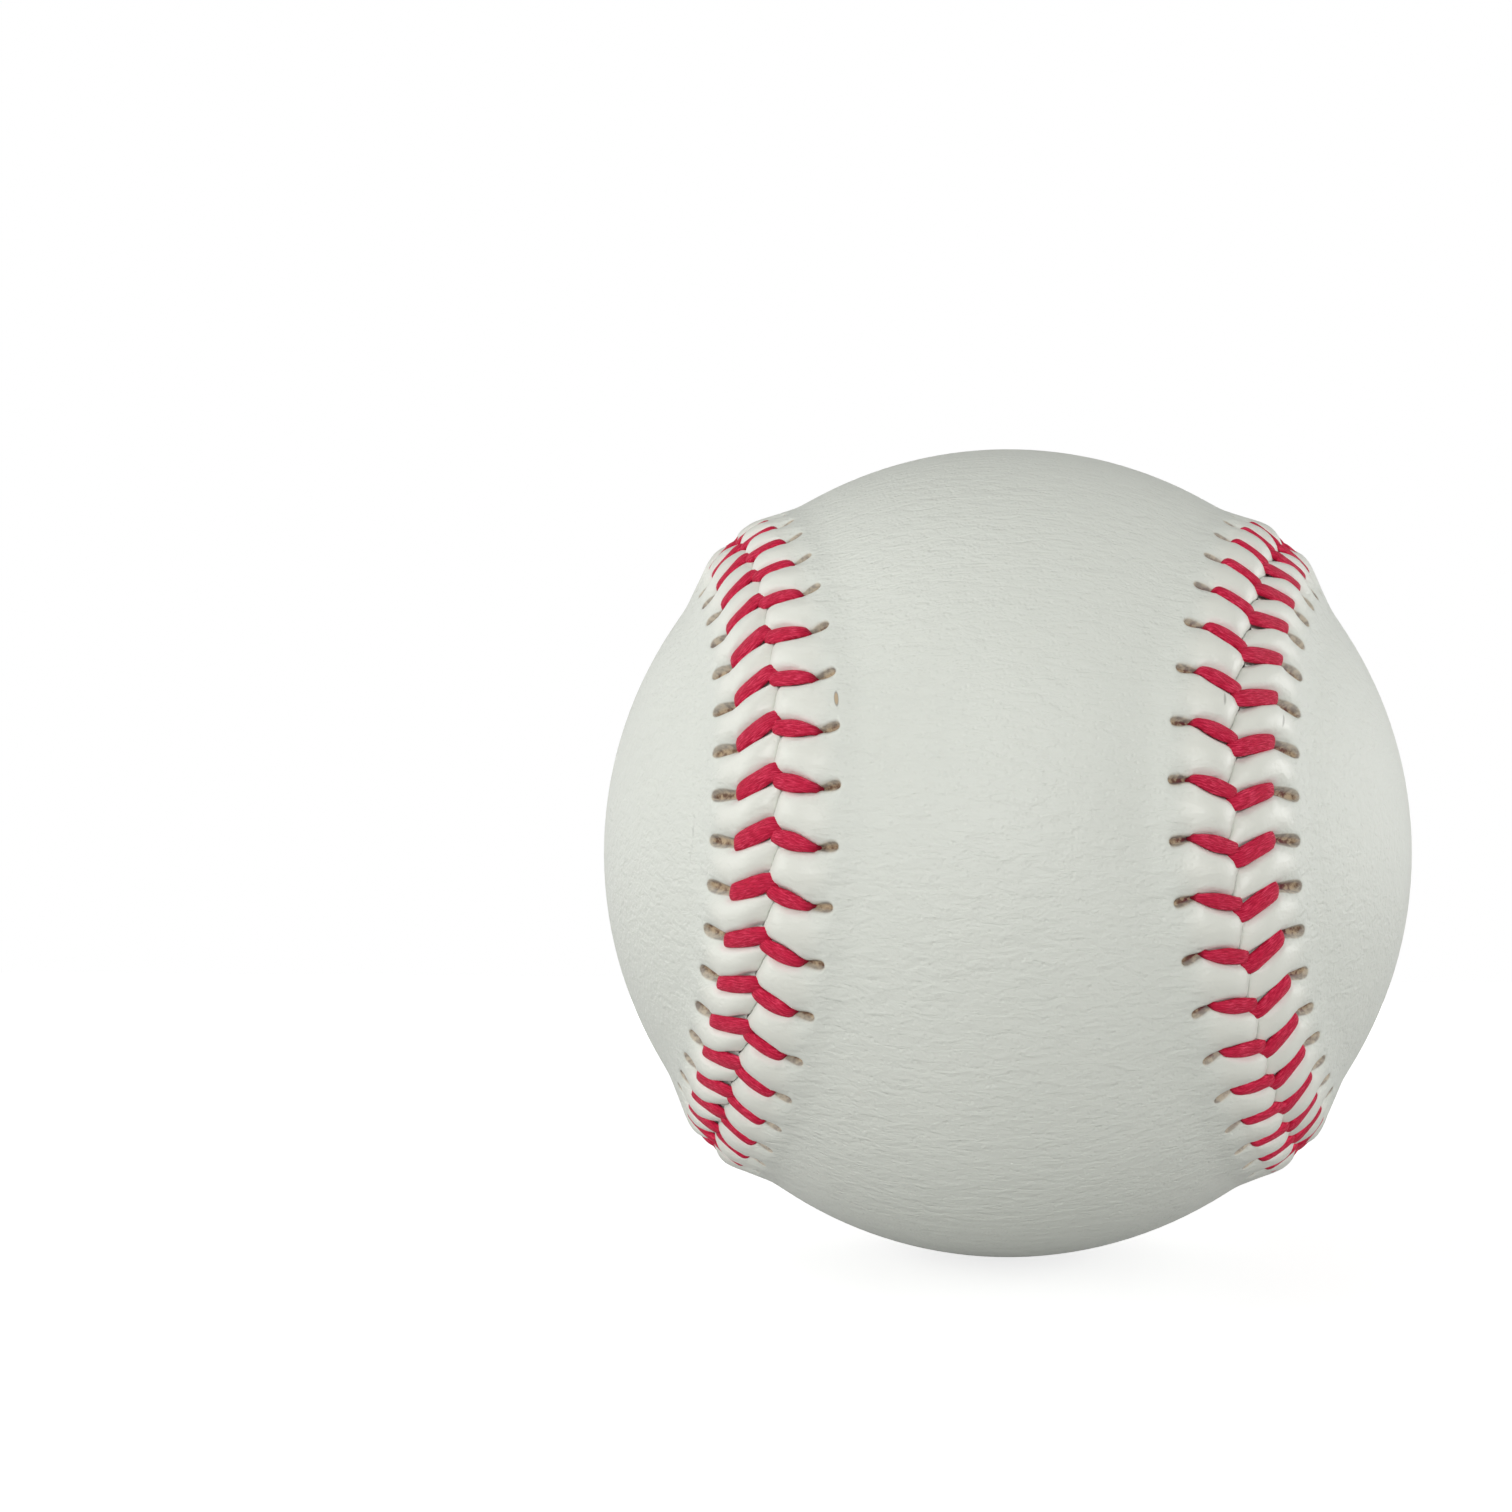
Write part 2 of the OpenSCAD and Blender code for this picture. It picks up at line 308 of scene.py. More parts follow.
    def hole(self, side: Side, i: np.ndarray) -> np.ndarray:
        """Give the length at which stitch i comes up through one panel, as its leg leans."""
        return self.station(i) + self.lean - side.value * self.lean_swing * self.bend(i)

    def slit_end(self, side: Side, i: np.ndarray) -> np.ndarray:
        """Give the length at which that hole's slit ends, torn the way the thread pulls."""
        swing = self.pull_swing * (self.pull_share - side.value) * self.bend(i)
        return self.station(i) + self.lean - self.pull_back + swing


def leg_width(side: Side, share: np.ndarray) -> np.ndarray:
    """Give half the width of a stitch's leg.

    Args:
        side: the panel on which it lies. Panel A's legs are pointed, panel B's blunt.
        share: share of the way from the seam to the hole.

    Returns:
        Half widths.
    """
    knots = {Side.A: ((0, 0.46), (0.3, 0.56), (0.6, 0.56), (0.85, 0.42), (1, 0.3)),
             Side.B: ((0, 0.6), (0.3, 0.64), (0.6, 0.64), (0.85, 0.6), (1, 0.52))}
    return curve_through(np.clip(share, 0, 1), knots[side])


class Nodes:
    """A short way to write a material's nodes."""

    def __init__(self, name: str) -> None:
        """Start an empty material with one principled shader.

        Args:
            name: name of the material.
        """
        self.material = bpy.data.materials.new(name)
        self.material.use_nodes = True
        self.tree = self.material.node_tree
        self.shader = self.tree.nodes["Principled BSDF"]

    def add(self, kind: str, values: dict[str, object] | None = None,
            **settings: object) -> bpy.types.Node:
        """Add a node.

        Args:
            kind: type of the node, without its ShaderNode prefix.
            values: what to set or join to its inputs, by the input's name or number.
            settings: properties of the node itself.

        Returns:
            The node.
        """
        node = self.tree.nodes.new("ShaderNode" + kind)
        for key, value in settings.items():
            setattr(node, key, value)
        for key, value in (values or {}).items():
            self.put(node.inputs[key], value)
        return node

    def put(self, socket: bpy.types.NodeSocket, value: object) -> None:
        """Set a socket to a constant, or join another node's output to it.

        Args:
            socket: an input of a node.
            value: a number, a vector, a colour or an output.
        """
        if isinstance(value, bpy.types.NodeSocket):
            self.tree.links.new(value, socket)
        elif isinstance(value, tuple) and len(value) == 3 and socket.type == "RGBA":
            socket.default_value = (*value, 1)
        else:
            socket.default_value = value

    def attribute(self, name: str) -> bpy.types.NodeSocket:
        """Read one of the mesh's own point values."""
        return self.add("Attribute", attribute_name=name).outputs["Fac"]

    def place(self) -> bpy.types.NodeSocket:
        """Read the place on the object."""
        return self.add("TexCoord").outputs["Object"]

    def sum(self, kind: str, a: object, b: object) -> bpy.types.NodeSocket:
        """Work out one number from two."""
        return self.add("Math", {0: a, 1: b}, operation=kind).outputs[0]

    def spread(self, value: object, low: float, high: float, to_low: float = 0,
               to_high: float = 1) -> bpy.types.NodeSocket:
        """Stretch a range of numbers onto another, and hold it there.

        Args:
            value: number or output to stretch.
            low: where the range starts.
            high: where it ends.
            to_low: what its start becomes.
            to_high: what its end becomes.

        Returns:
            The stretched number.
        """
        return self.add("MapRange", {
            "Value": value, "From Min": low, "From Max": high, "To Min": to_low,
            "To Max": to_high}).outputs["Result"]

    def blend(self, share: object, a: object, b: object) -> bpy.types.NodeSocket:
        """Mix two colours by a share.

        Args:
            share: how much of the second is in the mix.
            a: first colour.
            b: second colour.

        Returns:
            The mixed colour.
        """
        node = self.add("Mix", data_type="RGBA")
        self.put(node.inputs[0], share)
        self.put(node.inputs[6], a)
        self.put(node.inputs[7], b)
        return node.outputs[2]

    def noise(self, place: object, size: float, detail: float = 2,
              rough: float = 0.5) -> bpy.types.NodeSocket:
        """Read soft noise.

        Args:
            place: where to read it.
            size: size of its features in millimetres.
            detail: number of finer layers over the first.
            rough: strength of each finer layer against the one before.

        Returns:
            The noise, around one half.
        """
        return self.add("TexNoise", {
            "Vector": place, "Scale": 1 / (size * METRES), "Detail": detail,
            "Roughness": rough}).outputs["Fac"]

    def cells(self, place: object, size: float) -> bpy.types.NodeSocket:
        """Read the distance from the nearest of scattered points a size apart."""
        return self.add("TexVoronoi", {
            "Vector": place, "Scale": 1 / (size * METRES)}).outputs["Distance"]

    def bump(self, height: object, depth: float,
             under: object = None) -> bpy.types.NodeSocket:
        """Turn a height into a normal.

        Args:
            height: height from 0 to 1.
            depth: what a height of 1 stands for, in millimetres.
            under: normal of the coarser relief that this one lies on.

        Returns:
            The normal.
        """
        values = {"Height": height, "Distance": depth * METRES, "Strength": 1.0}
        if under is not None:
            values["Normal"] = under
        return self.add("Bump", values).outputs["Normal"]

    def finish(self, values: dict[str, object]) -> bpy.types.Material:
        """Set the shader's inputs.

        Args:
            values: what to set or join, by the input's name.

        Returns:
            The material.
        """
        for key, value in values.items():
            self.put(self.shader.inputs[key], value)
        return self.material


@dataclass(frozen=True)
class Nick:
    """A small mark on the leather, drawn out along the seam: a tear or a short crease, edged with
    painted shade.

    Attributes:
        s: length along the seam at which it lies.
        u: distance from the seam.
        half_length: half its length along the seam.
        half_width: half its width.
        strength: how much it shows, up to 1.
        r: distance of its middle from the ball's centre.
        half_depth: how far in and out it reaches, past the leather both ways.
    """

    s: float
    u: float
    half_length: float
    half_width: float
    strength: float
    r: float = 37.3
    half_depth: float = 3.0

    def mask(self, n: Nodes, place: bpy.types.NodeSocket, seam: Seam) -> bpy.types.NodeSocket:
        """Give the mark's strength on it and 0 off it, with a soft edge.

        The place is measured from the mark's middle along, across and up, each over its own
        half size, and the edge is where the length of that triple is about one.

        Args:
            n: the material's nodes.
            place: the place on the object.
            seam: the seam beside which the mark lies.

        Returns:
            The mask.
        """
        way = seam.toward(np.array(self.s), np.array(self.u))
        along = seam.along(np.array(self.s))
        away = n.add("VectorMath", {0: place, 1: tuple(way * self.r * METRES)},
                     operation="SUBTRACT").outputs[0]
        axes = (along / self.half_length, np.cross(way, along) / self.half_width,
                way / self.half_depth)
        parts = [n.add("VectorMath", {0: away, 1: tuple(axis / METRES)},
                       operation="DOT_PRODUCT").outputs["Value"] for axis in axes]
        triple = n.add("CombineXYZ", {k: part for k, part in enumerate(parts)}).outputs[0]
        far = n.add("VectorMath", {0: triple}, operation="LENGTH").outputs["Value"]
        return n.spread(far, 0.6, 1.15, self.strength, 0)


@dataclass(frozen=True)
class LeatherFinish:
    """Alum-tanned white leather: fine pebbled grain, whiter where it is stretched, partly as
    painted highlight.

    Attributes:
        seam: the seam beside which the marks lie.
        nicks: small marks on the leather.
        pebble_w: width of a pebble of the grain.
        fine_w: width of the finer noise over the pebbles.
        pebble_depth: depth of the grain.
        fold_w: width of the faint folds, which are drawn out across panel A's waist.
        fold_depth: depth of the folds.
        fold_tilt: how far the folds are turned from level, in degrees.
        fold_draw_share: width of a fold as a share of its length.
        stretched_share: share of the relief that is left where the leather is puffed up.
        patch_w: width of the patches of paler leather and of pink stain.
        drift_w: width of the slow changes of tone.
        fleck_w: width of the flecks in the raw suede.
        skin: the plain leather.
        pale: paler patches, and where it is stretched over a pucker, partly as a painted highlight
            on its crown.
        dull: where its tone is lower.
        suede: the raw leather in a cut or a tear.
        worn: darker flecks in that.
        deep: dark red painted in a hole beside the thread, for the shade in it, tinted by the
            thread.
        stain: the thread's pink dye on the skin beside a leg.
        shadow: painted shade round a nick's edge, as in a shallow crease.
    """

    seam: Seam
    nicks: tuple[Nick, ...] = ()
    pebble_w: float = 0.42
    fine_w: float = 0.3
    pebble_depth: float = 0.028
    fold_w: float = 0.7
    fold_depth: float = 0.15
    fold_tilt: float = -15
    fold_draw_share: float = 0.36
    stretched_share: float = 0.35
    patch_w: float = 3.2
    drift_w: float = 22
    fleck_w: float = 0.45

    skin: Colour = rgb(209, 212, 204)
    pale: Colour = rgb(214, 215, 206)
    dull: Colour = rgb(206, 209, 201)
    suede: Colour = rgb(176, 156, 128)
    worn: Colour = rgb(100, 73, 56)
    deep: Colour = rgb(92, 34, 40)
    stain: Colour = rgb(224, 200, 200)
    shadow: Colour = rgb(150, 148, 140)

    def tone(self, n: Nodes, place: bpy.types.NodeSocket,
             lift: bpy.types.NodeSocket, cut: bpy.types.NodeSocket) -> bpy.types.NodeSocket:
        """Colour the leather, its marks, the stain beside the thread, the torn suede, and painted
        shade and highlight.

        Args:
            n: the material's nodes.
            place: the place on the object.
            lift: how far the leather is puffed up.
            cut: how far it is cut or torn open.

        Returns:
            The colour.
        """
        patch = n.noise(place, self.patch_w, 4, 0.6)
        drift = n.noise(place, self.drift_w, 3)
        tone = n.blend(n.spread(drift, 0.35, 0.65), self.dull, self.skin)
        tone = n.blend(n.sum("MULTIPLY", n.spread(patch, 0.4, 0.72), 0.08), tone, self.pale)
        # whiter where puffed up: stretched leather, and partly a painted highlight on each
        # pucker's crown
        tone = n.blend(lift, tone, self.pale)
        for nick in self.nicks:
            mark = nick.mask(n, place, self.seam)
            # painted shade (shadow) round the nick's edge, and raw suede in its middle where it is
            # strong
            torn = n.blend(n.spread(mark, 0.5, 0.9), self.shadow, self.suede)
            tone = n.blend(n.spread(mark, 0, 0.5), tone, torn)
        stained = n.sum("MULTIPLY", n.attribute("near_thread"), n.spread(patch, 0.3, 0.7, 0, 0.6))
        tone = n.blend(stained, tone, self.stain)
        flecks = n.noise(place, self.fleck_w, 3, 0.6)
        raw = n.blend(n.spread(flecks, 0.38, 0.6), self.worn, self.suede)
        # painted shade: dark red in each hole beside the thread, broken up by flecks
        dark = n.sum("MULTIPLY", n.attribute("deep"), n.spread(flecks, 0.46, 0.56, 1, 0.25))
        return n.blend(cut, tone, n.blend(dark, raw, self.deep))

    def grain(self, n: Nodes, place: bpy.types.NodeSocket) -> bpy.types.NodeSocket:
        """Make the grain's height: pebbles, with finer noise over them."""
        fine = n.sum("MULTIPLY", n.noise(place, self.fine_w, 3, 0.6), 0.7)
        return n.sum("ADD", fine, n.spread(n.cells(place, self.pebble_w), 0.0, 0.42))

    def folds(self, n: Nodes, place: bpy.types.NodeSocket) -> bpy.types.NodeSocket:
        """Make the folds' height: noise drawn out one way, above and below nought.

        Args:
            n: the material's nodes.
            place: the place on the object.

        Returns:
            The height.
        """
        drawn = n.add("Mapping", {
            "Vector": place, "Rotation": (0, radians(self.fold_tilt), 0),
            "Scale": (self.fold_draw_share, 1.0, 1.0)})
        noise = n.add("TexNoise", {
            "Vector": drawn.outputs[0], "Scale": 1 / (self.fold_w * METRES), "Detail": 3.0,
            "Roughness": 0.55, "Distortion": 0.5})
        return n.sum("SUBTRACT", noise.outputs["Fac"], 0.5)

    def material(self) -> bpy.types.Material:
        """Make the leather.

        The grain is cells less than half a millimetre wide over faint folds. Both are weaker
        where the leather is puffed up and stretched, and it is glossier there.

        Returns:
            The material.
        """
        n = Nodes("white_leather")
        place = n.place()
        lift, cut = n.attribute("lift"), n.attribute("cut")
        grain = self.grain(n, place)
        calm = n.spread(lift, 0.3, 1, 1, self.stretched_share)
        normal = n.bump(n.sum("MULTIPLY", self.folds(n, place), calm), self.fold_depth)
        normal = n.bump(n.sum("MULTIPLY", grain, calm), self.pebble_depth, normal)
        rough = n.sum("ADD", n.spread(grain, 0.3, 1.4, 0.66, 0.54), n.sum("MULTIPLY", cut, 0.3))
        rough = n.sum("SUBTRACT", rough, n.spread(lift, 0.3, 1, 0, 0.13))
        return n.finish({
            "Base Color": self.tone(n, place, lift, cut), "Roughness": rough,
            "Specular IOR Level": n.spread(lift, 0.3, 1, 0.35, 0.5), "Normal": normal,
            "Sheen Weight": 0.08, "Sheen Roughness": 0.5})


@dataclass(frozen=True)
class ThreadFinish:
    """Waxed red cotton thread, a flat bundle of fine fibres laid at a slant.

    Attributes:
        red: the dyed thread.
        light: its worn fibre crests, partly as a painted highlight.
        dark: painted shade on the thread, between fibres and where it dips into a hole or is
            hidden.
        sheen: the colour of its soft sheen.
        slant: angle of the fibres to the thread's length, in degrees.
        across: fibres' noise across the thread, in features a millimetre.
        along: the same along it.
        fibre_depth: depth of the relief between fibres.
    """

    red: Colour = rgb(211, 24, 68)
    light: Colour = rgb(234, 88, 118)
    dark: Colour = rgb(166, 12, 48)
    sheen: Colour = rgb(240, 150, 160)
    slant: float = 24
    across: float = 15.0
    along: float = 1.6
    fibre_depth: float = 0.1

    def material(self) -> bpy.types.Material:
        """Make the thread, its fibres drawn out along the piece's own length.

        Returns:
            The material.
        """
        n = Nodes("red_thread")
        lay = n.add("CombineXYZ", {
            "X": n.attribute("around"), "Y": n.attribute("length"), "Z": 0.0}).outputs[0]
        slant = n.add("Mapping", {
            "Vector": lay, "Rotation": (0, 0, radians(self.slant)),
            "Scale": (self.across, self.along, 1.0)})
        fibres = n.add("TexNoise", {
            "Vector": slant.outputs[0], "Scale": 1.0, "Detail": 4.0, "Roughness": 0.65})
        hair = fibres.outputs["Fac"]
        worn = n.noise(n.place(), 1.3, 3)
        tone = n.blend(n.spread(hair, 0.36, 0.66), self.dark, self.red)
        # lighter on the fibre crests in worn patches: partly wear, partly a painted highlight
        tone = n.blend(n.sum("MULTIPLY", n.spread(hair, 0.48, 0.7), n.spread(worn, 0.25, 0.7)),
                       tone, self.light)
        # painted shade where the thread dips into a hole or down the seam
        tone = n.blend(n.attribute("dip_shade"), tone, self.dark)
        return n.finish({
            "Base Color": tone, "Roughness": n.spread(hair, 0.3, 0.7, 0.72, 0.5),
            "Specular IOR Level": 0.18, "Normal": n.bump(hair, self.fibre_depth),
            "Sheen Weight": 0.12, "Sheen Roughness": 0.4, "Sheen Tint": (*self.sheen, 1)})


@dataclass
class CoverPanel:
    """One figure-eight leather panel, puckered along its sewn edge, closed all round.

    The edge is a fine grid: rows at set distances from the seam, and for each stitch twenty
    columns that stand closest round its leg and its hole. Inside it the panel is a field of
    lines that cross it from rim to rim. A hole goes right through where the thread comes up,
    and outward from there the pull has torn it into a shallow slit.

    Attributes:
        seam: the seam along which it is sewn.
        side: which of the two panels it is.
        finish: its leather.
        node: the solid that it replaces.
        reach: distance from the seam to the thread in a hole.
        slit_near: distance from the seam to a slit's end where the edge bends most.
        slit_far: the same at the waists and the tips of the lobes.
        slit_half: half a slit's greatest width.
        slit_start_share: share of that width at which it starts.
        hole_half: half a hole's width.
        hole_after: how far a hole reaches beyond the thread.
        margin_w: width of the puckered margin, out to the rim of the smooth field.
        seed: start of its chance numbers.
        hole_before: how far a hole reaches short of the thread.
        edge_gap: gap between the two panels' edges.
        notch: how far a leg pushes the edge back where it goes down.
        notch_u: distance from the seam within which it does.
        notch_fade: distances from a leg's middle line between which the push fades.
        crease_swing: how far the edge swings to and fro as the puckers press each other.
        crease_u: distance from the seam within which it does.
        slit_depth: depth of a slit.
        hole_deep_share: the same at the hole, as a share of it.
        lip_w: width of the rounded lip along a slit.
        lip_drop: how far it rounds down.
        lip_raw_share: share of raw suede on it.
        stain_w: width of the stained strip beside a leg.
        stain_gap: its distance from the leg.
        column_half: distance from a leg's middle line of the columns along a hole's sides.
        stitch_half: distance from it of the last column, halfway to the next leg.
        tucked_r: radius at the bottom of the crease between the panels.
        under_r: radius of the underside at the seam, over the thread's hidden runs.
        wound_r: radius of the underside elsewhere.
        rim_rise: how far the rim of the field stands over the smooth leather.
        uneven: greatest chance difference of a pucker's height, as a share of it.
        wall: where the leather rises at a leg, as distances from the leg's side.
        slope: where it rises beside a slit, as distances from its middle line.
        broad: where a broader roundness rises, in the same way.
        broad_share: share of that in the whole.
        pressed: height of the leather along a leg, as (place, radius) from seam to rim.
        crown: the same midway between two legs.
        slit_knot: place of a slit's end among the places of those heights.
        rim_knot: place of the rim among them.
        knee: width over which the places turn from one scale to the other at a slit's end.
        rim_points: points of the rim for each stitch.
        field_columns: steps in each line of the field.
        under_columns: the same on the underside.
    """

    seam: Seam
    side: Side
    finish: LeatherFinish
    node: str
    reach: float
    slit_near: float
    slit_far: float
    slit_half: float
    slit_start_share: float
    hole_half: float
    hole_after: float
    margin_w: float
    seed: int
    hole_before: float = 0.35
    edge_gap: float = 0.03
    notch: float = 0.16
    notch_u: float = 1.5
    notch_fade: Span = (0.35, 0.85)
    crease_swing: float = 0.32
    crease_u: float = 2.2
    slit_depth: float = 0.4
    hole_deep_share: float = 1.3
    lip_w: float = 0.11
    lip_drop: float = 0.06
    lip_raw_share: float = 0.65
    stain_w: float = 0.22
    stain_gap: float = 0.1
    column_half: float = 0.38
    stitch_half: float = 1.84
    tucked_r: float = 36.84
    under_r: float = 36.28
    wound_r: float = 35.45
    rim_rise: float = 0.005
    uneven: float = 0.08
    wall: Span = (-0.3, 0.36)
    slope: Span = (0.1, 1.5)
    broad: Span = (0.3, 1.84)
    broad_share: float = 0.3
    pressed: Knots = (
        (0, 36.95), (0.8, 36.93), (1.6, 36.95), (2.4, 36.97), (3.2, 37.03), (4, 37.07),
        (4.65, 37.07), (5.2, 36.95), (5.8, 36.83), (6.4, 36.775), (7.2, 36.755))
    crown: Knots = (
        (0, 37.25), (0.4, 37.57), (0.9, 37.83), (1.5, 37.95), (2.1, 37.9), (2.8, 37.72),
        (3.6, 37.46), (4.4, 37.22), (5.2, 37.0), (5.8, 36.86), (6.4, 36.785), (7.2, 36.755))
    slit_knot: float = 4.65
    rim_knot: float = 7.2
    knee: float = 0.7
    rim_points: int = 5
    field_columns: int = 32
    under_columns: int = 6

    def offsets(self) -> np.ndarray:
        """List the columns of one stitch, as distances from its leg's middle line."""
        half = np.array([0.15, 0.28, self.column_half, 0.48, 0.6, 0.75, 0.95, 1.18, 1.45])
        return np.concatenate([-half[::-1], [0], half, [self.stitch_half]])

    def rows(self) -> tuple[np.ndarray, np.ndarray]:
        """List the rows, as a step number and the share of the full height.

        The whole part of a step number is the stretch: 0 from the seam to the hole, 1 the
        hole, 2 the slit, 3 from there to the rim. The rest is the share of that stretch. The
        first rows lie one over the other and round off the edge.

        Returns:
            The step numbers, and the share of the way up from the bottom of the crease.
        """
        edge = np.array([0, 0, 0.01, 0.06, 0.15, 0.28, 0.45, 0.66, 0.92, 1.2, 1.5, 1.8, 2.1,
                         2.4]) / 2.6
        hole = 1 + np.array([0, 0.33, 0.67])
        slit = 2 + np.array([0, 0.15, 0.3, 0.45, 0.6, 0.72, 0.82, 0.9, 0.96])
        rest = 3 + np.array([0, 0.03, 0.08, 0.14, 0.21, 0.3, 0.4, 0.51, 0.62, 0.74, 0.87])
        share = [0, 0.45, 0.74, 0.88, 0.95, 0.985]
        steps = np.concatenate([edge, hole, slit, rest])
        return steps, np.concatenate([share, np.ones(len(steps) - len(share))])

    def hole_rows(self) -> tuple[int, int]:
        """Give the rows at which the open holes start and end."""
        steps = self.rows()[0]
        return int(np.searchsorted(steps, 1)), int(np.searchsorted(steps, 2))

    def hole_columns(self) -> tuple[int, int]:
        """Give the columns of the two long sides of a hole."""
        middle = len(self.offsets()) // 2 - 1
        return middle - 3, middle + 3

    def slit_reach(self, i: np.ndarray) -> np.ndarray:
        """Give how far from the seam the slit of stitch i ends, furthest at the waists."""
        return mix(self.slit_far, self.slit_near, self.seam.bend(i) ** 2)

    def distance(self, steps: np.ndarray, i: np.ndarray) -> np.ndarray:
        """Turn step numbers into distances from the seam.

        Args:
            steps: step numbers.
            i: numbers of the stitches, in the same shape.

        Returns:
            The distances.
        """
        end = self.slit_reach(i)
        marks = [np.zeros_like(end), np.full_like(end, self.reach - self.hole_before),
                 np.full_like(end, self.reach + self.hole_after), end,
                 np.full_like(end, self.margin_w)]
        stretch = np.floor(steps).astype(int)
        share = steps - stretch
        low = np.choose(stretch, marks[:4])
        high = np.choose(stretch, marks[1:])
        return mix(low, high, share)

    def line(self, i: np.ndarray, u: np.ndarray) -> np.ndarray:
        """Give where the middle line of a leg is, straight from its dive to its hole.

        From there it follows the slit, and then turns to the even spacing of the rim.

        Args:
            i: number of the stitch.
            u: distance from the seam.

        Returns:
            The length along the seam.
        """
        dive, hole = self.seam.dive(self.side, i), self.seam.hole(self.side, i)
        end = self.slit_reach(i)
        leg = mix(dive, hole, np.clip(u / self.reach, 0, 1))
        torn = mix(leg, self.seam.slit_end(self.side, i), ease(u, self.reach, end))
        return mix(torn, self.seam.station(i) + self.seam.lean, ease(u, end, self.margin_w))

    def narrowing(self, step: np.ndarray) -> np.ndarray:
        """Give how close the middle columns draw in: to a hole, to a slit, and out again.

        The slit's width rises from its start and ends in a half round.

        Args:
            step: step number of the row.

        Returns:
            Their distance from the leg's middle line, as a share of their usual distance.
        """
        t = np.clip(step - 2, 0, 1)
        leaf = self.slit_half / self.column_half * mix(self.slit_start_share, 1.0, ease(t, 0, 0.6))
        leaf = leaf * np.sqrt(1 - np.clip((t - 0.72) / 0.29, 0, 0.97) ** 2)
        hole = mix(1.0, self.hole_half / self.column_half, ease(step, 0.8, 1.0))
        opening = ease(step, 1.7, 2.05)
        closing = ease(step, 3.0, 3.3)
        return mix(mix(hole, leaf, opening), 1.0, closing)

    def spacing(self, i: np.ndarray, u: np.ndarray,
                step: np.ndarray) -> tuple[np.ndarray, np.ndarray]:
        """Spread the columns from each leg's middle line halfway to the next on both sides.

        Args:
            i: number of the stitch.
            u: distance from the seam.
            step: step number of the row.

        Returns:
            Length along the seam, and distance from the leg's middle line.
        """
        x0 = self.offsets()
        columns = len(x0)
        middle = self.line(i, u)
        after = self.line(i + 1, u) - middle
        before = middle - self.line(i - 1, u)
        even = (np.arange(columns) - (columns // 2 - 1)) * (2 * self.stitch_half / columns)
        x = mix(x0, even, ease(step, 3.02, 3.75))
        close = 1 - ease(np.abs(x0), self.column_half, 0.95)
        x = x * (1 - (1 - self.narrowing(step)) * close)
        x = x * np.where(x0 > 0, after, before) / (2 * self.stitch_half)
        return middle + x, x

    def shifted(self, i: np.ndarray, u: np.ndarray, s: np.ndarray,
                x: np.ndarray) -> np.ndarray:
        """Move the edge back under each leg, and to and fro between the legs.

        The swing is sin a - 0.3 sin 2a, where a turns once from stitch to stitch.

        Args:
            i: number of the stitch.
            u: distance from the seam.
            s: length along the seam.
            x: distance from the leg's middle line.

        Returns:
            The distance to one side of the seam, with the panel's sign.
        """
        notch = self.notch * (1 - ease(np.abs(x), *self.notch_fade))
        edge = (self.edge_gap / 2 + notch) * (1 - ease(u, 0, self.notch_u))
        turn = 2 * pi * (s - self.seam.station(i)) / self.seam.pitch() - pi
        wave = np.sin(turn) - 0.3 * np.sin(2 * turn)
        swing = self.crease_swing * wave * (1 - ease(u, 0, self.crease_u))
        return self.side.value * (u + edge) - swing

    def tears(self, x: np.ndarray, step: np.ndarray) -> tuple[np.ndarray, np.ndarray]:
        """Say where a hole or a slit is open, and where its lip is.

        A slit is deepest in its middle, and gets shallower with the fourth power of the
        distance from it. The lip falls off outside it as a bell does.

        Args:
            x: distance from the leg's middle line.
            step: step number of the row.

        Returns:
            How far it is torn open and how much of a lip there is, both from 0 to 1.
        """
        half = self.column_half * self.narrowing(step)
        distance = np.abs(x)
        between = np.abs(self.offsets()) <= self.column_half
        inside = np.clip(1 - (distance / half) ** 4, 0, 1) * between
        torn = inside * ease(step, 1.0, 1.6) * (step < 2.97)
        clear = np.clip(distance - half, 0, None)
        lip = np.exp(-(clear / self.lip_w) ** 2)
        return torn, lip * ease(step, 1.6, 2.0) * (1 - ease(step, 3.0, 3.06))

    def grid(self) -> dict[str, np.ndarray]:
        """Work out the places of the grid, on axes row, stitch, column.

        Returns:
            By name: the length s, the signed distance u and the radius r of each point, how
            far the leather is puffed up (lift) and torn open (cut), how near the thread is
            (near_thread), and where dark red shade is painted into a hole beside the thread
            (deep).
        """
        steps, share = self.rows()
        i = np.arange(self.seam.stitches)[None, :, None]
        step = steps[:, None, None]
        u = self.distance(*np.broadcast_arrays(step, i.astype(float)))
        s, x = self.spacing(i, u, step)
        torn, lip = self.tears(x, step)
        height, lift = self.heights(u, x, step, i)
        r = mix(self.tucked_r, height, share[:, None, None]) - self.lip_drop * lip
        r = r - self.slit_depth * torn * mix(self.hole_deep_share, 1.0, ease(step, 2.0, 2.2))
        past = (np.abs(x) - self.leg_half(u) - self.stain_gap) / self.stain_w
        beside = np.exp(-past ** 2) * (1 - ease(step, 1.9, 2.1))
        # strength of the painted red shade in the holes, most at stitch 0, least halfway round the
        # ball
        red_shade_share = 0.5 + 0.5 * np.cos(2 * pi * i / self.seam.stitches)
        full = np.broadcast_arrays(
            s, self.shifted(i, u, s, x), r, lift, np.maximum(torn, self.lip_raw_share * lip ** 3),
            beside, torn * (1 - ease(step, 2.3, 2.85)) * red_shade_share)
        return dict(zip(("s", "u", "r", "lift", "cut", "near_thread", "deep"), full))

    def leg_half(self, u: np.ndarray) -> np.ndarray:
        """Give half the width of the leg that lies on this panel at a distance."""
        return leg_width(self.side, u / self.reach)

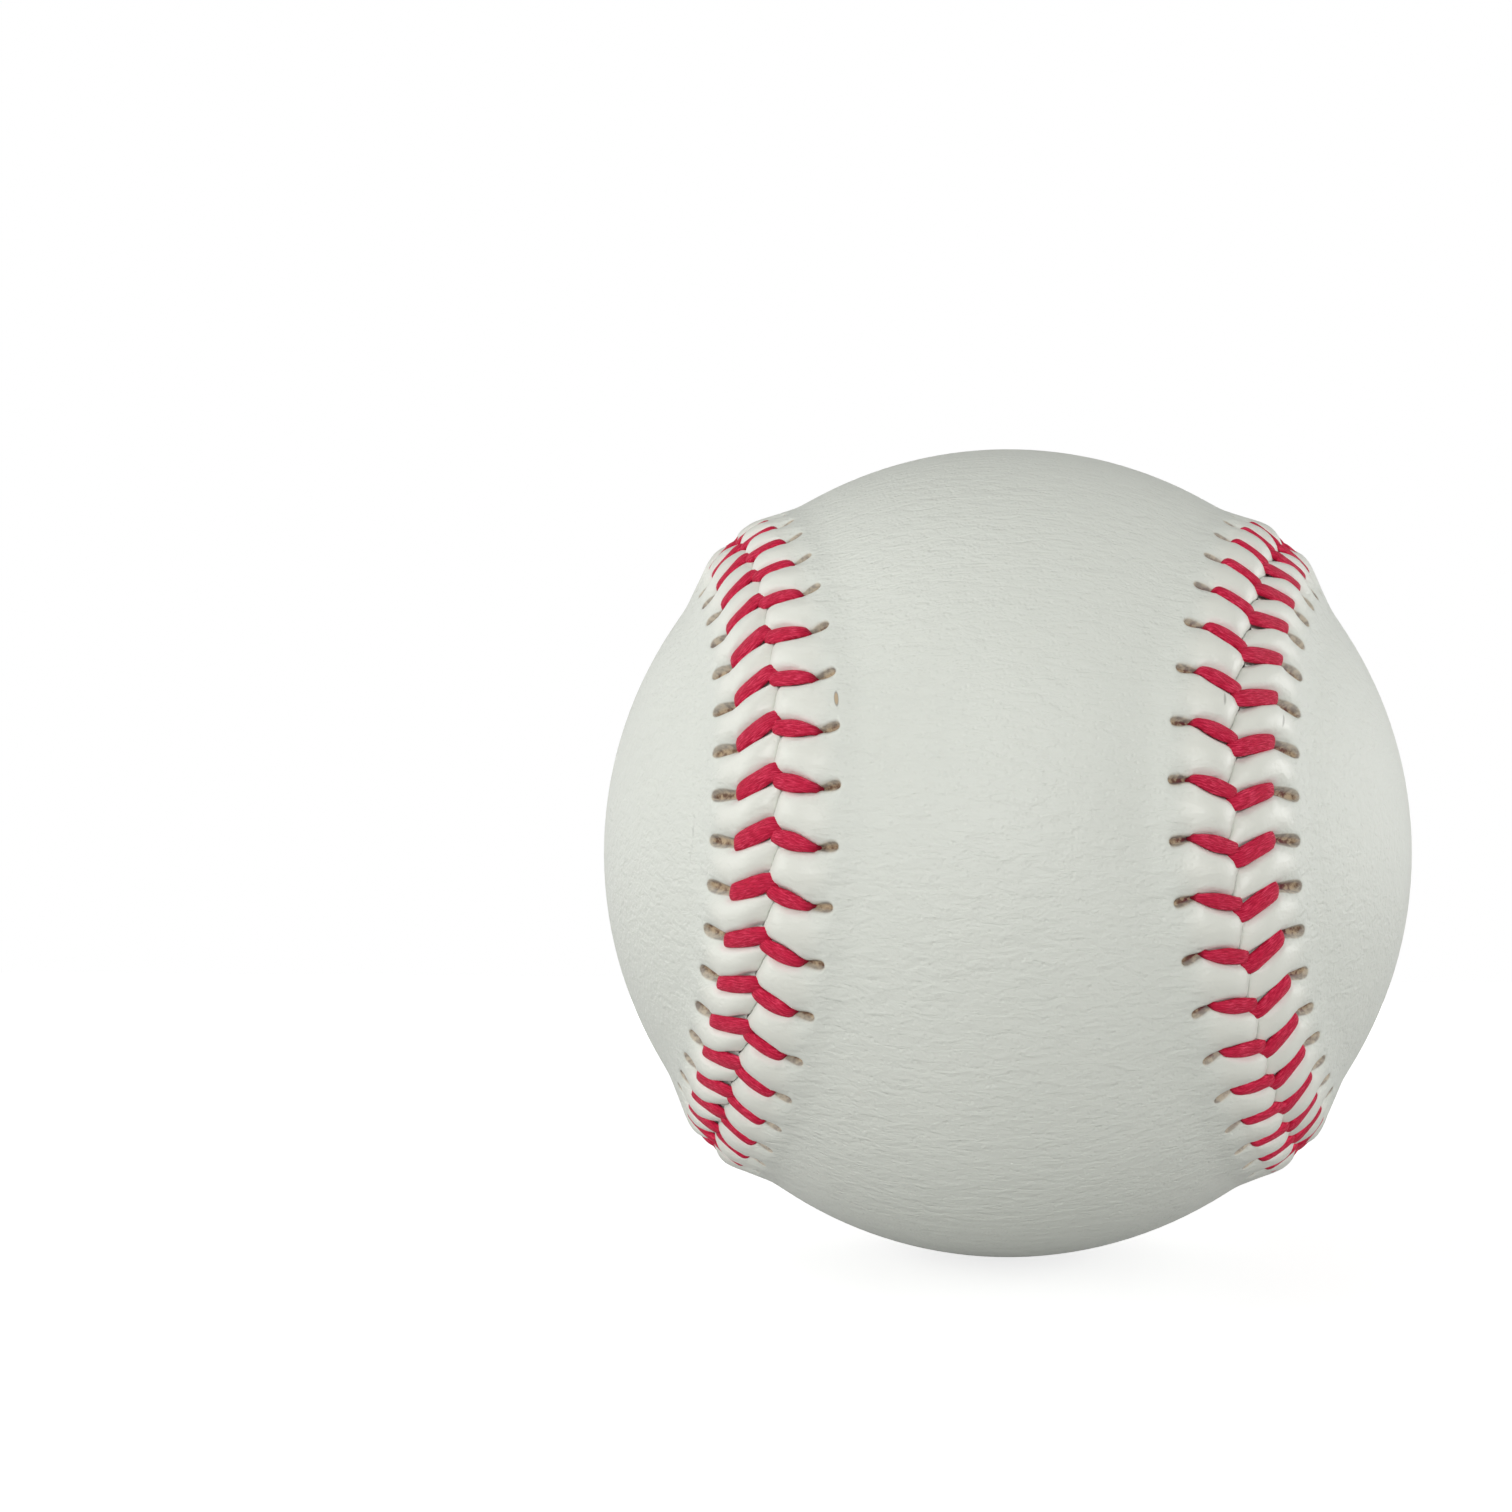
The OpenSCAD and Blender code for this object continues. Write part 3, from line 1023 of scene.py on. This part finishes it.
    def heights(self, u: np.ndarray, x: np.ndarray, step: np.ndarray,
                i: np.ndarray) -> tuple[np.ndarray, np.ndarray]:
        """Work out how high the leather stands.

        It is pressed low along each leg, whose sides it hugs, and puffs up between two legs,
        most at about two millimetres from the seam. Puckers differ in height by chance. Both
        heights are read at the place v, which is the slit's end plus past times one scale
        before it and another after it, with a soft turn between them.

        Args:
            u: distance from the seam.
            x: distance from the leg's middle line.
            step: step number of the row.
            i: number of the stitch.

        Returns:
            The outer radius, and how far the leather is puffed up from 0 to 1.
        """
        end = self.slit_reach(i)
        past = u - end
        near = self.slit_knot / end
        far = (self.rim_knot - self.slit_knot) / (self.margin_w - end)
        v = self.slit_knot + near * past + (far - near) * (past + np.hypot(past, self.knee)) / 2
        low = curve_through(v, self.pressed)
        high = curve_through(v, self.crown)
        chance = np.random.default_rng(self.seed).uniform(
            -self.uneven, self.uneven, self.seam.stitches)
        own = 1 + np.where(x > 0, chance[None, :, None], np.roll(chance, 1)[None, :, None])
        leg = self.leg_half(u)
        distance = np.abs(x)
        wall = ease(distance, leg + self.wall[0], leg + self.wall[1])
        puff = mix(wall, ease(distance, *self.slope), ease(step, 1.5, 2.8))
        puff = mix(puff, ease(distance, *self.broad), self.broad_share)
        r = low + (high - low) * puff * own
        return r, puff * ease(high - low, 0, 0.6)

    def field(self, rim: np.ndarray, columns: int) -> tuple[np.ndarray, np.ndarray]:
        """Fill the panel inside its rim with lines from one rim point to its mirror.

        Each line is the great circle between them: with w the angle between p and q, the
        point at share t is (p sin(w - w t) + q sin(w t)) / sin w.

        Args:
            rim: unit vectors round the rim, from one tip, an even number.
            columns: steps in each line.

        Returns:
            The inner points and the triangles, in which the rim's points are numbered first.
        """
        count = len(rim)
        lines = count // 2
        k = np.arange(1, lines)
        p, q = rim[k][:, None], rim[-k][:, None]
        w = np.arccos(np.clip((p * q).sum(-1, keepdims=True), -1, 1))
        t = (np.arange(1, columns) / columns)[None, :, None]
        inner = (p * np.sin(w * (1 - t)) + q * np.sin(w * t)) / np.sin(w)
        number = count + np.arange(inner.shape[0] * inner.shape[1]).reshape(inner.shape[:2])
        line = np.concatenate([k[:, None], number, (count - k)[:, None]], axis=1)
        faces = [strip(line[:-1], line[1:]), fan(0, line[0])[:, ::-1], fan(lines, line[-1])]
        return inner.reshape(-1, 3), np.concatenate(faces)[:, ::-1]

    def tip(self) -> int:
        """Give the number of the stitch at one tip of the panel."""
        return self.seam.stitches // 4 if self.side is Side.A else 0

    def rim(self) -> np.ndarray:
        """List the rim's unit vectors, evenly between stitches, from one tip of the panel.

        Returns:
            The vectors.
        """
        i = self.tip() + np.arange(self.rim_points * self.seam.stitches) / self.rim_points
        s = self.seam.station(i) + self.seam.lean
        return self.seam.toward(s, np.full(len(s), self.side.value * self.margin_w))

    def transition(self, fine: np.ndarray, coarse: np.ndarray) -> np.ndarray:
        """Join a ring to one with a quarter of its points, by five triangles a cell.

        Args:
            fine: point numbers of the ring with more points.
            coarse: numbers of the other.

        Returns:
            The triangles.
        """
        f, c = closed(fine), closed(coarse)
        a = f[:-1].reshape(-1, 4)
        f0, f1, f2, f3, f4 = a[:, 0], a[:, 1], a[:, 2], a[:, 3], f[4::4]
        c0, c1 = c[:-1], c[1:]
        cells = [(f0, f1, c0), (f1, f2, c0), (f2, c1, c0), (f2, f3, c1), (f3, f4, c1)]
        return np.concatenate([np.stack(cell, axis=1) for cell in cells])

    def shape(self) -> tuple[np.ndarray, np.ndarray, dict[str, np.ndarray]]:
        """Put the whole panel together: top, underside, edge and hole walls.

        Returns:
            Points, triangles, and the points' values for the material.
        """
        g = self.grid()
        rows, stitches, columns = g["s"].shape
        first, last = self.hole_rows()
        left, right = self.hole_columns()
        ring = stitches * columns

        # Point numbers: the top's grid, rim and field, then the underside's rows, rim and field
        top = self.seam.toward(g["s"], g["u"]) * g["r"][..., None]
        number = np.arange(rows * ring).reshape(rows, ring)
        start = rows * ring
        rim = self.rim()
        rim_number = start + np.arange(len(rim))
        inner, field_faces = self.field(rim, self.field_columns)
        start += len(rim) + len(inner)
        under = {}
        for key, row in (("near", first), ("far", last)):
            way = self.seam.toward(g["s"][row], g["u"][row])
            under[key] = way.reshape(-1, 3) * self.under_r
        near_number = start + np.arange(ring)
        far_number = near_number + ring
        start += 2 * ring
        under_rim_number = start + np.arange(len(rim))
        under_inner, under_faces = self.field(rim, self.under_columns)

        # Top, without the cells of the open holes
        solid_cells = np.ones((rows - 1, stitches, columns), dtype=bool)
        solid_cells[first:last, :, left:right] = False
        low, high = closed(number[:-1]), closed(number[1:])
        cells = strip(low, high).reshape(2, -1, 3)[:, solid_cells.reshape(-1)].reshape(-1, 3)
        middle = columns // 2 - 1
        tip = self.tip() * self.rim_points
        faces = [
            cells, self.transition(np.roll(number[-1], -middle), np.roll(rim_number, tip)),
            field_faces + rim_number[0]]

        # Edge, underside and hole walls
        solid_under = np.ones((stitches, columns), dtype=bool)
        solid_under[:, left:right] = False
        middle_strip = strip(closed(far_number), closed(near_number)).reshape(2, -1, 3)
        faces += [
            strip(closed(near_number), closed(number[0])),
            middle_strip[:, solid_under.reshape(-1)].reshape(-1, 3),
            self.transition(np.roll(far_number, -middle), np.roll(under_rim_number, tip))[:, ::-1],
            (under_faces + under_rim_number[0])[:, ::-1]]
        faces += self.walls(number, near_number, far_number, columns)

        points = np.concatenate([
            top.reshape(-1, 3), rim * (self.seam.ball_r + self.rim_rise), inner * self.seam.ball_r,
            under["near"], under["far"], rim * self.wound_r, under_inner * self.wound_r])
        outside = rows * ring + len(rim) + len(inner)
        values = {}
        for key in ("lift", "cut", "near_thread", "deep"):
            values[key] = np.zeros(len(points))
            values[key][:rows * ring] = np.clip(g[key], 0, 1).reshape(-1)
        values["cut"][outside:] = 1
        return points, np.concatenate(faces), values

    def walls(self, number: np.ndarray, near: np.ndarray, far: np.ndarray,
              columns: int) -> list[np.ndarray]:
        """Join the top and bottom outlines of every hole.

        A long side has many points above and two below, so it is two fans of triangles.

        Args:
            number: point numbers of the top grid.
            near: numbers of the underside's row at the start of the holes.
            far: numbers of its row at their ends.
            columns: columns of one stitch.

        Returns:
            Lists of triangles.
        """
        first, last = self.hole_rows()
        left, right = self.hole_columns()
        at = np.arange(self.seam.stitches) * columns
        across = np.arange(left, right + 1)
        ring = at[:, None] + across[None, :]
        faces = [strip(number[first][ring], near[ring]), strip(far[ring], number[last][ring])]
        split = (last - first) // 2
        for column, turn in ((left, 1), (right, -1)):
            lane = number[first:last + 1][:, at + column].T
            a, b = near[at + column][:, None], far[at + column][:, None]
            low = np.stack(np.broadcast_arrays(lane[:, :split], lane[:, 1:split + 1], a), axis=-1)
            high = np.stack(np.broadcast_arrays(
                lane[:, split:-1], lane[:, split + 1:], b), axis=-1)
            joint = np.stack(np.broadcast_arrays(lane[:, split:split + 1], b, a), axis=-1)
            side = np.concatenate([low, high, joint], axis=1).reshape(-1, 3)
            faces.append(side[:, ::-turn])
        return faces

    def build(self) -> bpy.types.Object:
        """Make the panel and dress it.

        Returns:
            The panel.
        """
        points, faces, values = self.shape()
        piece = build_mesh(self.node + "_leather", points, faces, values)
        piece.data.materials.append(self.finish.material())
        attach(piece, "root")
        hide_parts(self.node)
        return piece


@dataclass
class SeamThread:
    """The one thread that joins the panels, sewn from its middle with a needle at each end.

    Each needle comes up through a hole, lies over the leather to the seam, goes down between
    the panels and under the other panel to the next hole. Panel B's legs lie on top.

    Attributes:
        seam: the seam that it sews.
        finish: its finish.
        node: the solid that it replaces.
        reach: distance from the seam to the thread in a hole, on each side.
        under_r: radius at which its hidden runs lie.
        on_top: how much higher panel B's legs lie at the seam.
        uneven: greatest chance difference of a leg's width, as a share of it.
        sides: points round the thread.
        plies: ribs round the thread.
        ply_depth: height of a rib, as a share of the half width.
        ply_turn: how fast the ribs turn, in radians a millimetre.
        flat_power: how the thread's section rounds off, where 1 is an oval and less is fuller.
        seed: start of its chance numbers.
    """

    seam: Seam
    finish: ThreadFinish
    node: str
    reach: dict[Side, float]
    under_r: float = 35.86
    on_top: float = 0.1
    uneven: float = 0.07
    sides: int = 16
    plies: int = 4
    ply_depth: float = 0.05
    ply_turn: float = 1.3
    flat_power: float = 0.8
    seed: int = 11

    def leg_knots(self, side: Side) -> np.ndarray:
        """List the knots of one leg and of the hidden run after it.

        Args:
            side: the panel on which the leg lies.

        Returns:
            Rows of: share of the way from hole to dive, share from dive to next hole, share
            of the reach from the seam, radius, half width, half thickness and how much is
            hidden.
        """
        top = self.on_top if side is Side.B else 0.0
        over = -0.09 if side is Side.B else -0.02
        place = np.array([1.0, 0.985, 0.93, 0.76, 0.52, 0.27, 0.08])
        width = leg_width(side, place)
        shown = [(1 - p, 0.0, p, r + top * (1 - p), w, t, h) for p, w, r, t, h in zip(
            place, width, (36.95, 37.2, 37.33, 37.38, 37.4, 37.4, 37.37),
            (0.27, 0.3, 0.31, 0.32, 0.32, 0.32, 0.31), (0.9, 0.35, 0.05, 0, 0, 0, 0))]
        rows = np.array([
            (0.00, 0.0, 1.0, 35.95, 0.30, 0.26, 1.0),
            (0.00, 0.0, 1.005, 36.50, 0.30, 0.26, 1.0),
            *shown,
            (1.00, 0.0, over, 37.15 + top, width[-1] - 0.05, 0.28, 0.1),
            (1.00, 0.0, over, 36.62, 0.38, 0.2, 1.0),
            (1.00, 0.08, -0.10, 36.02, 0.34, 0.22, 1.0),
            (1.00, 0.50, -0.50, self.under_r, 0.34, 0.26, 1.0),
            (1.00, 0.92, -0.93, self.under_r, 0.32, 0.26, 1.0)])
        other = self.reach[Side(-side.value)]
        rows[:, 2] *= np.where(rows[:, 2] < -0.2, other, self.reach[side])
        return rows

    def needle(self, first: Side) -> np.ndarray:
        """Follow one needle from the last stitch down to the first.

        Args:
            first: the side of its first hole.

        Returns:
            Rows of s, u, radius, half width, half thickness and how much is hidden.
        """
        count = self.seam.stitches
        k = np.arange(count)
        i = count - 1 - k
        sign = np.where(k % 2 == 0, first.value, -first.value)
        is_a = sign > 0
        other = np.where(is_a, self.seam.hole(Side.B, i - 1), self.seam.hole(Side.A, i - 1))
        hole = np.where(is_a, self.seam.hole(Side.A, i), self.seam.hole(Side.B, i))
        dive = np.where(is_a, self.seam.dive(Side.A, i), self.seam.dive(Side.B, i))
        knots = np.where(is_a[:, None, None], self.leg_knots(Side.A), self.leg_knots(Side.B))
        s = mix(hole[:, None], dive[:, None], knots[..., 0])
        s = mix(s, other[:, None], knots[..., 1])
        chance = np.random.default_rng(self.seed + first.value)
        width = knots[..., 4] * chance.uniform(1 - self.uneven, 1 + self.uneven, (count, 1))
        rows = np.stack([s, sign[:, None] * knots[..., 2], knots[..., 3], width,
                         knots[..., 5], knots[..., 6]], axis=-1)
        return rows.reshape(-1, 6)[:-1]

    def route(self) -> np.ndarray:
        """Join the two needles' ways by the run under the seam at the last stitch.

        Returns:
            Rows as each needle's.
        """
        count = self.seam.stitches
        middle = (self.seam.station(count - 1) + self.seam.station(count)) / 2
        start = np.array([[middle, 0.0, self.under_r, 0.34, 0.24, 1.0]])
        return np.concatenate([self.needle(Side.B)[::-1], start, self.needle(Side.A)])

    def rings(self) -> np.ndarray:
        """Refine the route by a smooth cubic through its knots, two steps to a knot.

        The point halfway between knots b and c, with a before and d after, is
        (9 (b + c) - a - d) / 16. Between two knots that are both hidden there is none.

        Returns:
            Rows as the route's.
        """
        k = self.route()
        a = np.concatenate([k[:1], k[:-2]])
        b, c = k[:-1], k[1:]
        d = np.concatenate([k[2:], k[-1:]])
        half = (9 * (b + c) - a - d) / 16
        seen = (b[:, 5] + c[:, 5]) < 1.9
        out = np.empty((2 * len(k) - 1, 6))
        out[::2] = k
        out[1::2] = half
        keep = np.ones(len(out), dtype=bool)
        keep[1::2] = seen
        return out[keep]

    def shape(self) -> tuple[np.ndarray, np.ndarray, dict[str, np.ndarray]]:
        """Carry a flat, slightly ribbed oval along the route.

        Its width lies along the seam, made square to the way the thread runs. The ribs turn
        slowly round the thread as plies do.

        Returns:
            Points, triangles, and the points' values for the material.
        """
        s, u, r, half_w, half_t, hidden = self.rings().T
        way = self.seam.toward(s, u) * r[:, None]
        tangent = unit(np.gradient(way, axis=0))
        wide = self.seam.along(s)
        wide = unit(wide - tangent * (wide * tangent).sum(-1, keepdims=True))
        thick = np.cross(tangent, wide)
        length = np.concatenate([[0], np.cumsum(np.linalg.norm(np.diff(way, axis=0), axis=1))])
        turn = np.arange(self.sides) * 2 * pi / self.sides
        rib = 1 + self.ply_depth * np.cos(
            self.plies * turn[None, :] + self.ply_turn * length[:, None]) * (1 - hidden[:, None])
        flat = np.sign(np.sin(turn)) * np.abs(np.sin(turn)) ** self.flat_power
        across = half_w[:, None] * np.cos(turn)[None, :] * rib
        up = half_t[:, None] * flat[None, :] * rib
        points = (way[:, None] + across[..., None] * wide[:, None]
                  + up[..., None] * thick[:, None])
        rings = len(way)
        number = np.arange(rings * self.sides).reshape(rings, self.sides)
        caps = rings * self.sides + np.arange(2)
        faces = np.concatenate([
            strip(closed(number[:-1]), closed(number[1:])),
            fan(caps[0], closed(number[0]))[:, ::-1], fan(caps[1], closed(number[-1]))])
        every = np.concatenate([points.reshape(-1, 3), way[[0, -1]]])
        values = {"around": np.concatenate([across.reshape(-1), [0, 0]])}
        # its hidden share also sets the painted shade where it dips into a hole or down the seam
        for key, row in (("length", length), ("dip_shade", hidden)):
            values[key] = np.concatenate([np.repeat(row, self.sides), row[[0, -1]]])
        return every, faces, values

    def build(self) -> bpy.types.Object:
        """Make the thread and dress it.

        Returns:
            The thread.
        """
        points, faces, values = self.shape()
        piece = build_mesh(self.node + "_sewn", points, faces, values)
        piece.data.materials.append(self.finish.material())
        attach(piece, "root")
        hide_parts(self.node)
        return piece


class Layer(Enum):
    """The solids inside the cover, by what they are made of."""

    CORK = ("cork_core",)
    BLACK_RUBBER = ("black_shell_lower", "black_shell_upper")
    RED_RUBBER = ("rubber_washer", "red_shell_lower", "red_shell_upper")
    GREY_WOOL = ("grey_wool_inner", "grey_wool_outer")
    WHITE_WOOL = ("white_wool",)
    FINE_YARN = ("finishing_yarn",)


@dataclass(frozen=True)
class CorkFinish:
    """Ground cork in a rubber binder.

    Attributes:
        pale: colour of the grains.
        dark: colour of the binder and the specks.
    """

    pale: Colour = rgb(190, 146, 100)
    dark: Colour = rgb(84, 58, 42)

    def material(self) -> bpy.types.Material:
        """Make grains two millimetres wide with dark binder between them.

        Returns:
            The material.
        """
        n = Nodes("ground_cork")
        place = n.place()
        grains = n.cells(place, 2.1)
        speck = n.noise(place, 0.6, 3, 0.7)
        tone = n.blend(n.spread(grains, 0.25, 0.75), self.pale, self.dark)
        tone = n.blend(n.spread(speck, 0.55, 0.75), tone, self.dark)
        return n.finish({
            "Base Color": tone, "Roughness": n.spread(speck, 0.3, 0.7, 0.75, 0.9),
            "Normal": n.bump(grains, 0.25)})


@dataclass(frozen=True)
class RubberFinish:
    """Moulded rubber, a little dusty.

    Attributes:
        name: name of the material.
        body: the rubber.
        bloom: the dust on it.
    """

    name: str
    body: Colour
    bloom: Colour

    def material(self) -> bpy.types.Material:
        """Make the rubber, with faint bloom and a finely blasted skin.

        Returns:
            The material.
        """
        n = Nodes(self.name)
        place = n.place()
        dust = n.noise(place, 4, 4, 0.6)
        skin = n.noise(place, 0.25, 2)
        tone = n.blend(n.spread(dust, 0.45, 0.8), self.body, self.bloom)
        return n.finish({
            "Base Color": tone, "Roughness": n.spread(dust, 0.3, 0.7, 0.5, 0.68),
            "Normal": n.bump(skin, 0.04)})


@dataclass(frozen=True)
class YarnFinish:
    """Yarn wound round and round the ball in bands that cross at all angles.

    Attributes:
        name: name of the material.
        light: the yarn in the light.
        shade: the yarn between strands.
        strand: width of a strand.
    """

    name: str
    light: Colour
    shade: Colour
    strand: float

    def material(self) -> bpy.types.Material:
        """Make the winding: three sets of strands, each on its own patches of the ball.

        A wave texture of scale 1 has its bands one wave pitch apart, in metres.

        Returns:
            The material.
        """
        n = Nodes(self.name)
        place = n.place()
        wander = n.noise(place, 9, 2)
        height: object = (0.0, 0.0, 0.0)
        for k, tilt in enumerate(((0.4, 0.1, 0.0), (1.5, 0.7, 0.3), (0.2, 2.1, 1.1))):
            turned = n.add("Mapping", {"Vector": place, "Rotation": tilt}).outputs[0]
            wave = n.add("TexWave", {
                "Vector": turned, "Scale": WAVE_PITCH / (self.strand * METRES),
                "Distortion": 1.2, "Detail": 2.0}, wave_type="BANDS").outputs["Fac"]
            patch = n.spread(n.sum("ADD", wander, k * 0.07), 0.42 + 0.09 * k, 0.47 + 0.09 * k)
            height = n.blend(patch, height, wave)
        fuzz = n.noise(place, 0.3, 4, 0.7)
        tone = n.blend(n.spread(height, 0.1, 0.7), self.shade, self.light)
        tone = n.blend(n.spread(fuzz, 0.5, 0.8), tone, self.light)
        normal = n.bump(fuzz, 0.1, n.bump(height, self.strand * 0.4))
        return n.finish({
            "Base Color": tone, "Roughness": n.spread(fuzz, 0.3, 0.7, 0.95, 0.8),
            "Normal": normal, "Sheen Weight": 0.2})


@dataclass(frozen=True)
class InnerLayers:
    """The pill and the windings, whose solids from the frame are kept and dressed.

    Attributes:
        cork: finish of the core.
        black: finish of the inner rubber shells.
        red: finish of the washer and the outer rubber shells.
        grey: finish of the first and third windings.
        white: finish of the second winding.
        fine: finish of the last winding.
    """

    cork: CorkFinish = CorkFinish()
    black: RubberFinish = RubberFinish("black_rubber", rgb(38, 38, 40), rgb(78, 78, 80))
    red: RubberFinish = RubberFinish("red_rubber", rgb(158, 48, 40), rgb(190, 100, 88))
    grey: YarnFinish = YarnFinish("grey_wool", rgb(150, 148, 146), rgb(70, 70, 74), 1.5)
    white: YarnFinish = YarnFinish("white_wool", rgb(226, 220, 208), rgb(140, 134, 122), 1.3)
    fine: YarnFinish = YarnFinish("fine_yarn", rgb(236, 232, 222), rgb(158, 152, 142), 0.5)

    def build(self) -> list[str]:
        """Give each node its material.

        Returns:
            The names of the nodes dressed.
        """
        finishes = {
            Layer.CORK: self.cork, Layer.BLACK_RUBBER: self.black, Layer.RED_RUBBER: self.red,
            Layer.GREY_WOOL: self.grey, Layer.WHITE_WOOL: self.white, Layer.FINE_YARN: self.fine}
        done = []
        for layer, finish in finishes.items():
            material = finish.material()
            for name in layer.value:
                mesh = bpy.data.objects[name].data
                mesh.materials.clear()
                mesh.materials.append(material)
                done.append(name)
        return done


@dataclass(frozen=True)
class Lamp:
    """A soft square lamp that looks at the ball.

    Attributes:
        name: name of the lamp.
        place: where it hangs.
        size: width of its face.
        power: its power in watts.
    """

    name: str
    place: tuple[float, float, float]
    size: float
    power: float

    def hang(self) -> None:
        """Put the lamp in the scene, out of the camera's sight."""
        data = bpy.data.lights.new(self.name, "AREA")
        data.size = self.size * METRES
        data.energy = self.power
        lamp = bpy.data.objects.new(self.name, data)
        lamp.location = Vector(self.place) * METRES
        lamp.rotation_euler = (-lamp.location).to_track_quat("-Z", "Y").to_euler()
        lamp.visible_camera = False
        bpy.context.scene.collection.objects.link(lamp)


@dataclass(frozen=True)
class Studio:
    """A plain pale floor and backdrop, even soft light, and the photograph's camera.

    Attributes:
        floor_z: height of the floor, at the ball's lowest point.
        floor_half: half the floor's width.
        floor_colour: its grey level.
        floor_glow: how brightly it shines to the camera near the ball.
        glow_from: distance from the ball at which that starts to rise to full white.
        glow_to: distance at which it is full white.
        sky: strength of the even light all round.
        distance: distance of the camera from the ball's centre.
        turn: how the camera is swung round the ball, as a vector along the axis of the swing
            and as long as its angle in degrees.
        lens: its focal length, for a sensor as wide as sensor_w.
        sensor_w: width of that sensor.
        shift: how far the picture is shifted, as shares of its width.
        near: distance at which the camera starts to see.
        lamps: the lamps, by which side of the ball each lights.
    """

    floor_z: float = -36.75
    floor_half: float = 3000
    floor_colour: float = 0.55
    floor_glow: float = 0.72
    glow_from: float = 140
    glow_to: float = 450
    sky: float = 0.1
    distance: float = 109.92
    turn: tuple[float, float, float] = (5.89, -0.37, 0.42)
    lens: float = 27.115
    sensor_w: float = 36
    shift: tuple[float, float] = (-0.1666, 0.0643)
    near: float = 10
    lamps: tuple[Lamp, ...] = (
        Lamp("front_lamp", (0, -800, 55), 180, 3.8),
        Lamp("top_lamp", (-350, -300, 700), 300, 1.1),
        Lamp("left_lamp", (-800, -250, 150), 600, 3.6),
        Lamp("right_lamp", (850, 50, 100), 500, 4.0),
        Lamp("back_left_lamp", (-700, 400, 200), 600, 1.5),
        Lamp("back_right_lamp", (700, 400, 200), 600, 1.4),
        Lamp("back_lamp", (0, 900, 250), 500, 3.5))

    def floor(self) -> None:
        """Lay the floor, white to the camera but for the object's shadow."""
        edge = self.floor_half * METRES
        z = self.floor_z * METRES
        mesh = bpy.data.meshes.new("floor")
        mesh.from_pydata([(-edge, -edge, z), (edge, -edge, z), (edge, edge, z), (-edge, edge, z)],
                         [], [(0, 1, 2, 3)])
        plane = bpy.data.objects.new("floor", mesh)
        bpy.context.scene.collection.objects.link(plane)
        n = Nodes("white_floor")
        shown = n.add("LightPath").outputs["Is Camera Ray"]
        away = n.add("VectorMath", {0: n.place()}, operation="LENGTH").outputs["Value"]
        rising = n.spread(away, self.glow_from * METRES, self.glow_to * METRES,
                          self.floor_glow, 1.0)
        glow = n.sum("MULTIPLY", shown, rising)
        mesh.materials.append(n.finish({
            "Base Color": (self.floor_colour,) * 3, "Roughness": 0.9,
            "Specular IOR Level": 0.0, "Emission Color": (1, 1, 1), "Emission Strength": glow}))

    def world(self) -> None:
        """Surround the object with even light, plain white where the camera looks past it."""
        world = bpy.data.worlds.new("studio")
        bpy.context.scene.world = world
        world.use_nodes = True
        tree = world.node_tree
        path = tree.nodes.new("ShaderNodeLightPath")
        pick = tree.nodes.new("ShaderNodeMapRange")
        shown = tree.nodes.new("ShaderNodeMath")
        shown.operation = "MAXIMUM"
        tree.links.new(path.outputs["Is Camera Ray"], shown.inputs[0])
        tree.links.new(path.outputs["Is Transmission Ray"], shown.inputs[1])
        tree.links.new(shown.outputs[0], pick.inputs["Value"])
        pick.inputs["To Min"].default_value = self.sky
        pick.inputs["To Max"].default_value = 1.0
        background = tree.nodes["Background"]
        background.inputs["Color"].default_value = (1, 1, 1, 1)
        tree.links.new(pick.outputs[0], background.inputs["Strength"])

    def camera(self) -> None:
        """Stand the camera where the photograph was taken from, a little below the middle."""
        data = bpy.data.cameras.new("camera")
        data.lens = self.lens
        data.sensor_width = self.sensor_w
        data.shift_x, data.shift_y = self.shift
        data.clip_start = self.near * METRES
        turn = Vector([radians(a) for a in self.turn])
        swing = Matrix.Rotation(turn.length, 4, turn.normalized())
        level = Matrix.Rotation(radians(90), 4, "X")
        camera = bpy.data.objects.new("camera", data)
        camera.matrix_world = swing @ level @ Matrix.Translation((0, 0, self.distance * METRES))
        bpy.context.scene.collection.objects.link(camera)
        bpy.context.scene.camera = camera

    def build(self) -> None:
        """Set up the stage."""
        bpy.context.scene.view_settings.view_transform = "Standard"
        self.camera()
        self.floor()
        self.world()
        for lamp in self.lamps:
            lamp.hang()


def main() -> None:
    """Build the stage, the layers and the cover, and report each."""
    Studio().build()
    log.info("stage: floor, lamps and camera")
    for name in InnerLayers().build():
        log.info("dressed %s", name)
    seam = Seam()
    nicks = (Nick(192.0, 4.62, 0.56, 0.15, 1.0), Nick(6.62, 1.28, 0.5, 0.12, 0.35),
             Nick(6.9, -3.65, 0.5, 0.13, 0.4))
    leather = LeatherFinish(seam, nicks)
    panels = (
        CoverPanel(seam, Side.A, leather, "cover_panel_a", reach=2.95, slit_near=4.6,
                   slit_far=4.7, slit_half=0.28, slit_start_share=0.5, hole_half=0.3,
                   hole_after=0.2, margin_w=7.2, seed=3),
        CoverPanel(seam, Side.B, leather, "cover_panel_b", reach=3.12, slit_near=5.2,
                   slit_far=6.0, slit_half=0.5, slit_start_share=0.65, hole_half=0.4,
                   hole_after=0.4, margin_w=8.2, seed=5))
    for panel in panels:
        piece = panel.build()
        log.info("built %s with %d faces", piece.name, len(piece.data.polygons))
    reach = {panel.side: panel.reach for panel in panels}
    thread = SeamThread(seam, ThreadFinish(), "seam_thread", reach).build()
    log.info("built %s with %d faces", thread.name, len(thread.data.polygons))


if __name__ == "__main__":
    main()
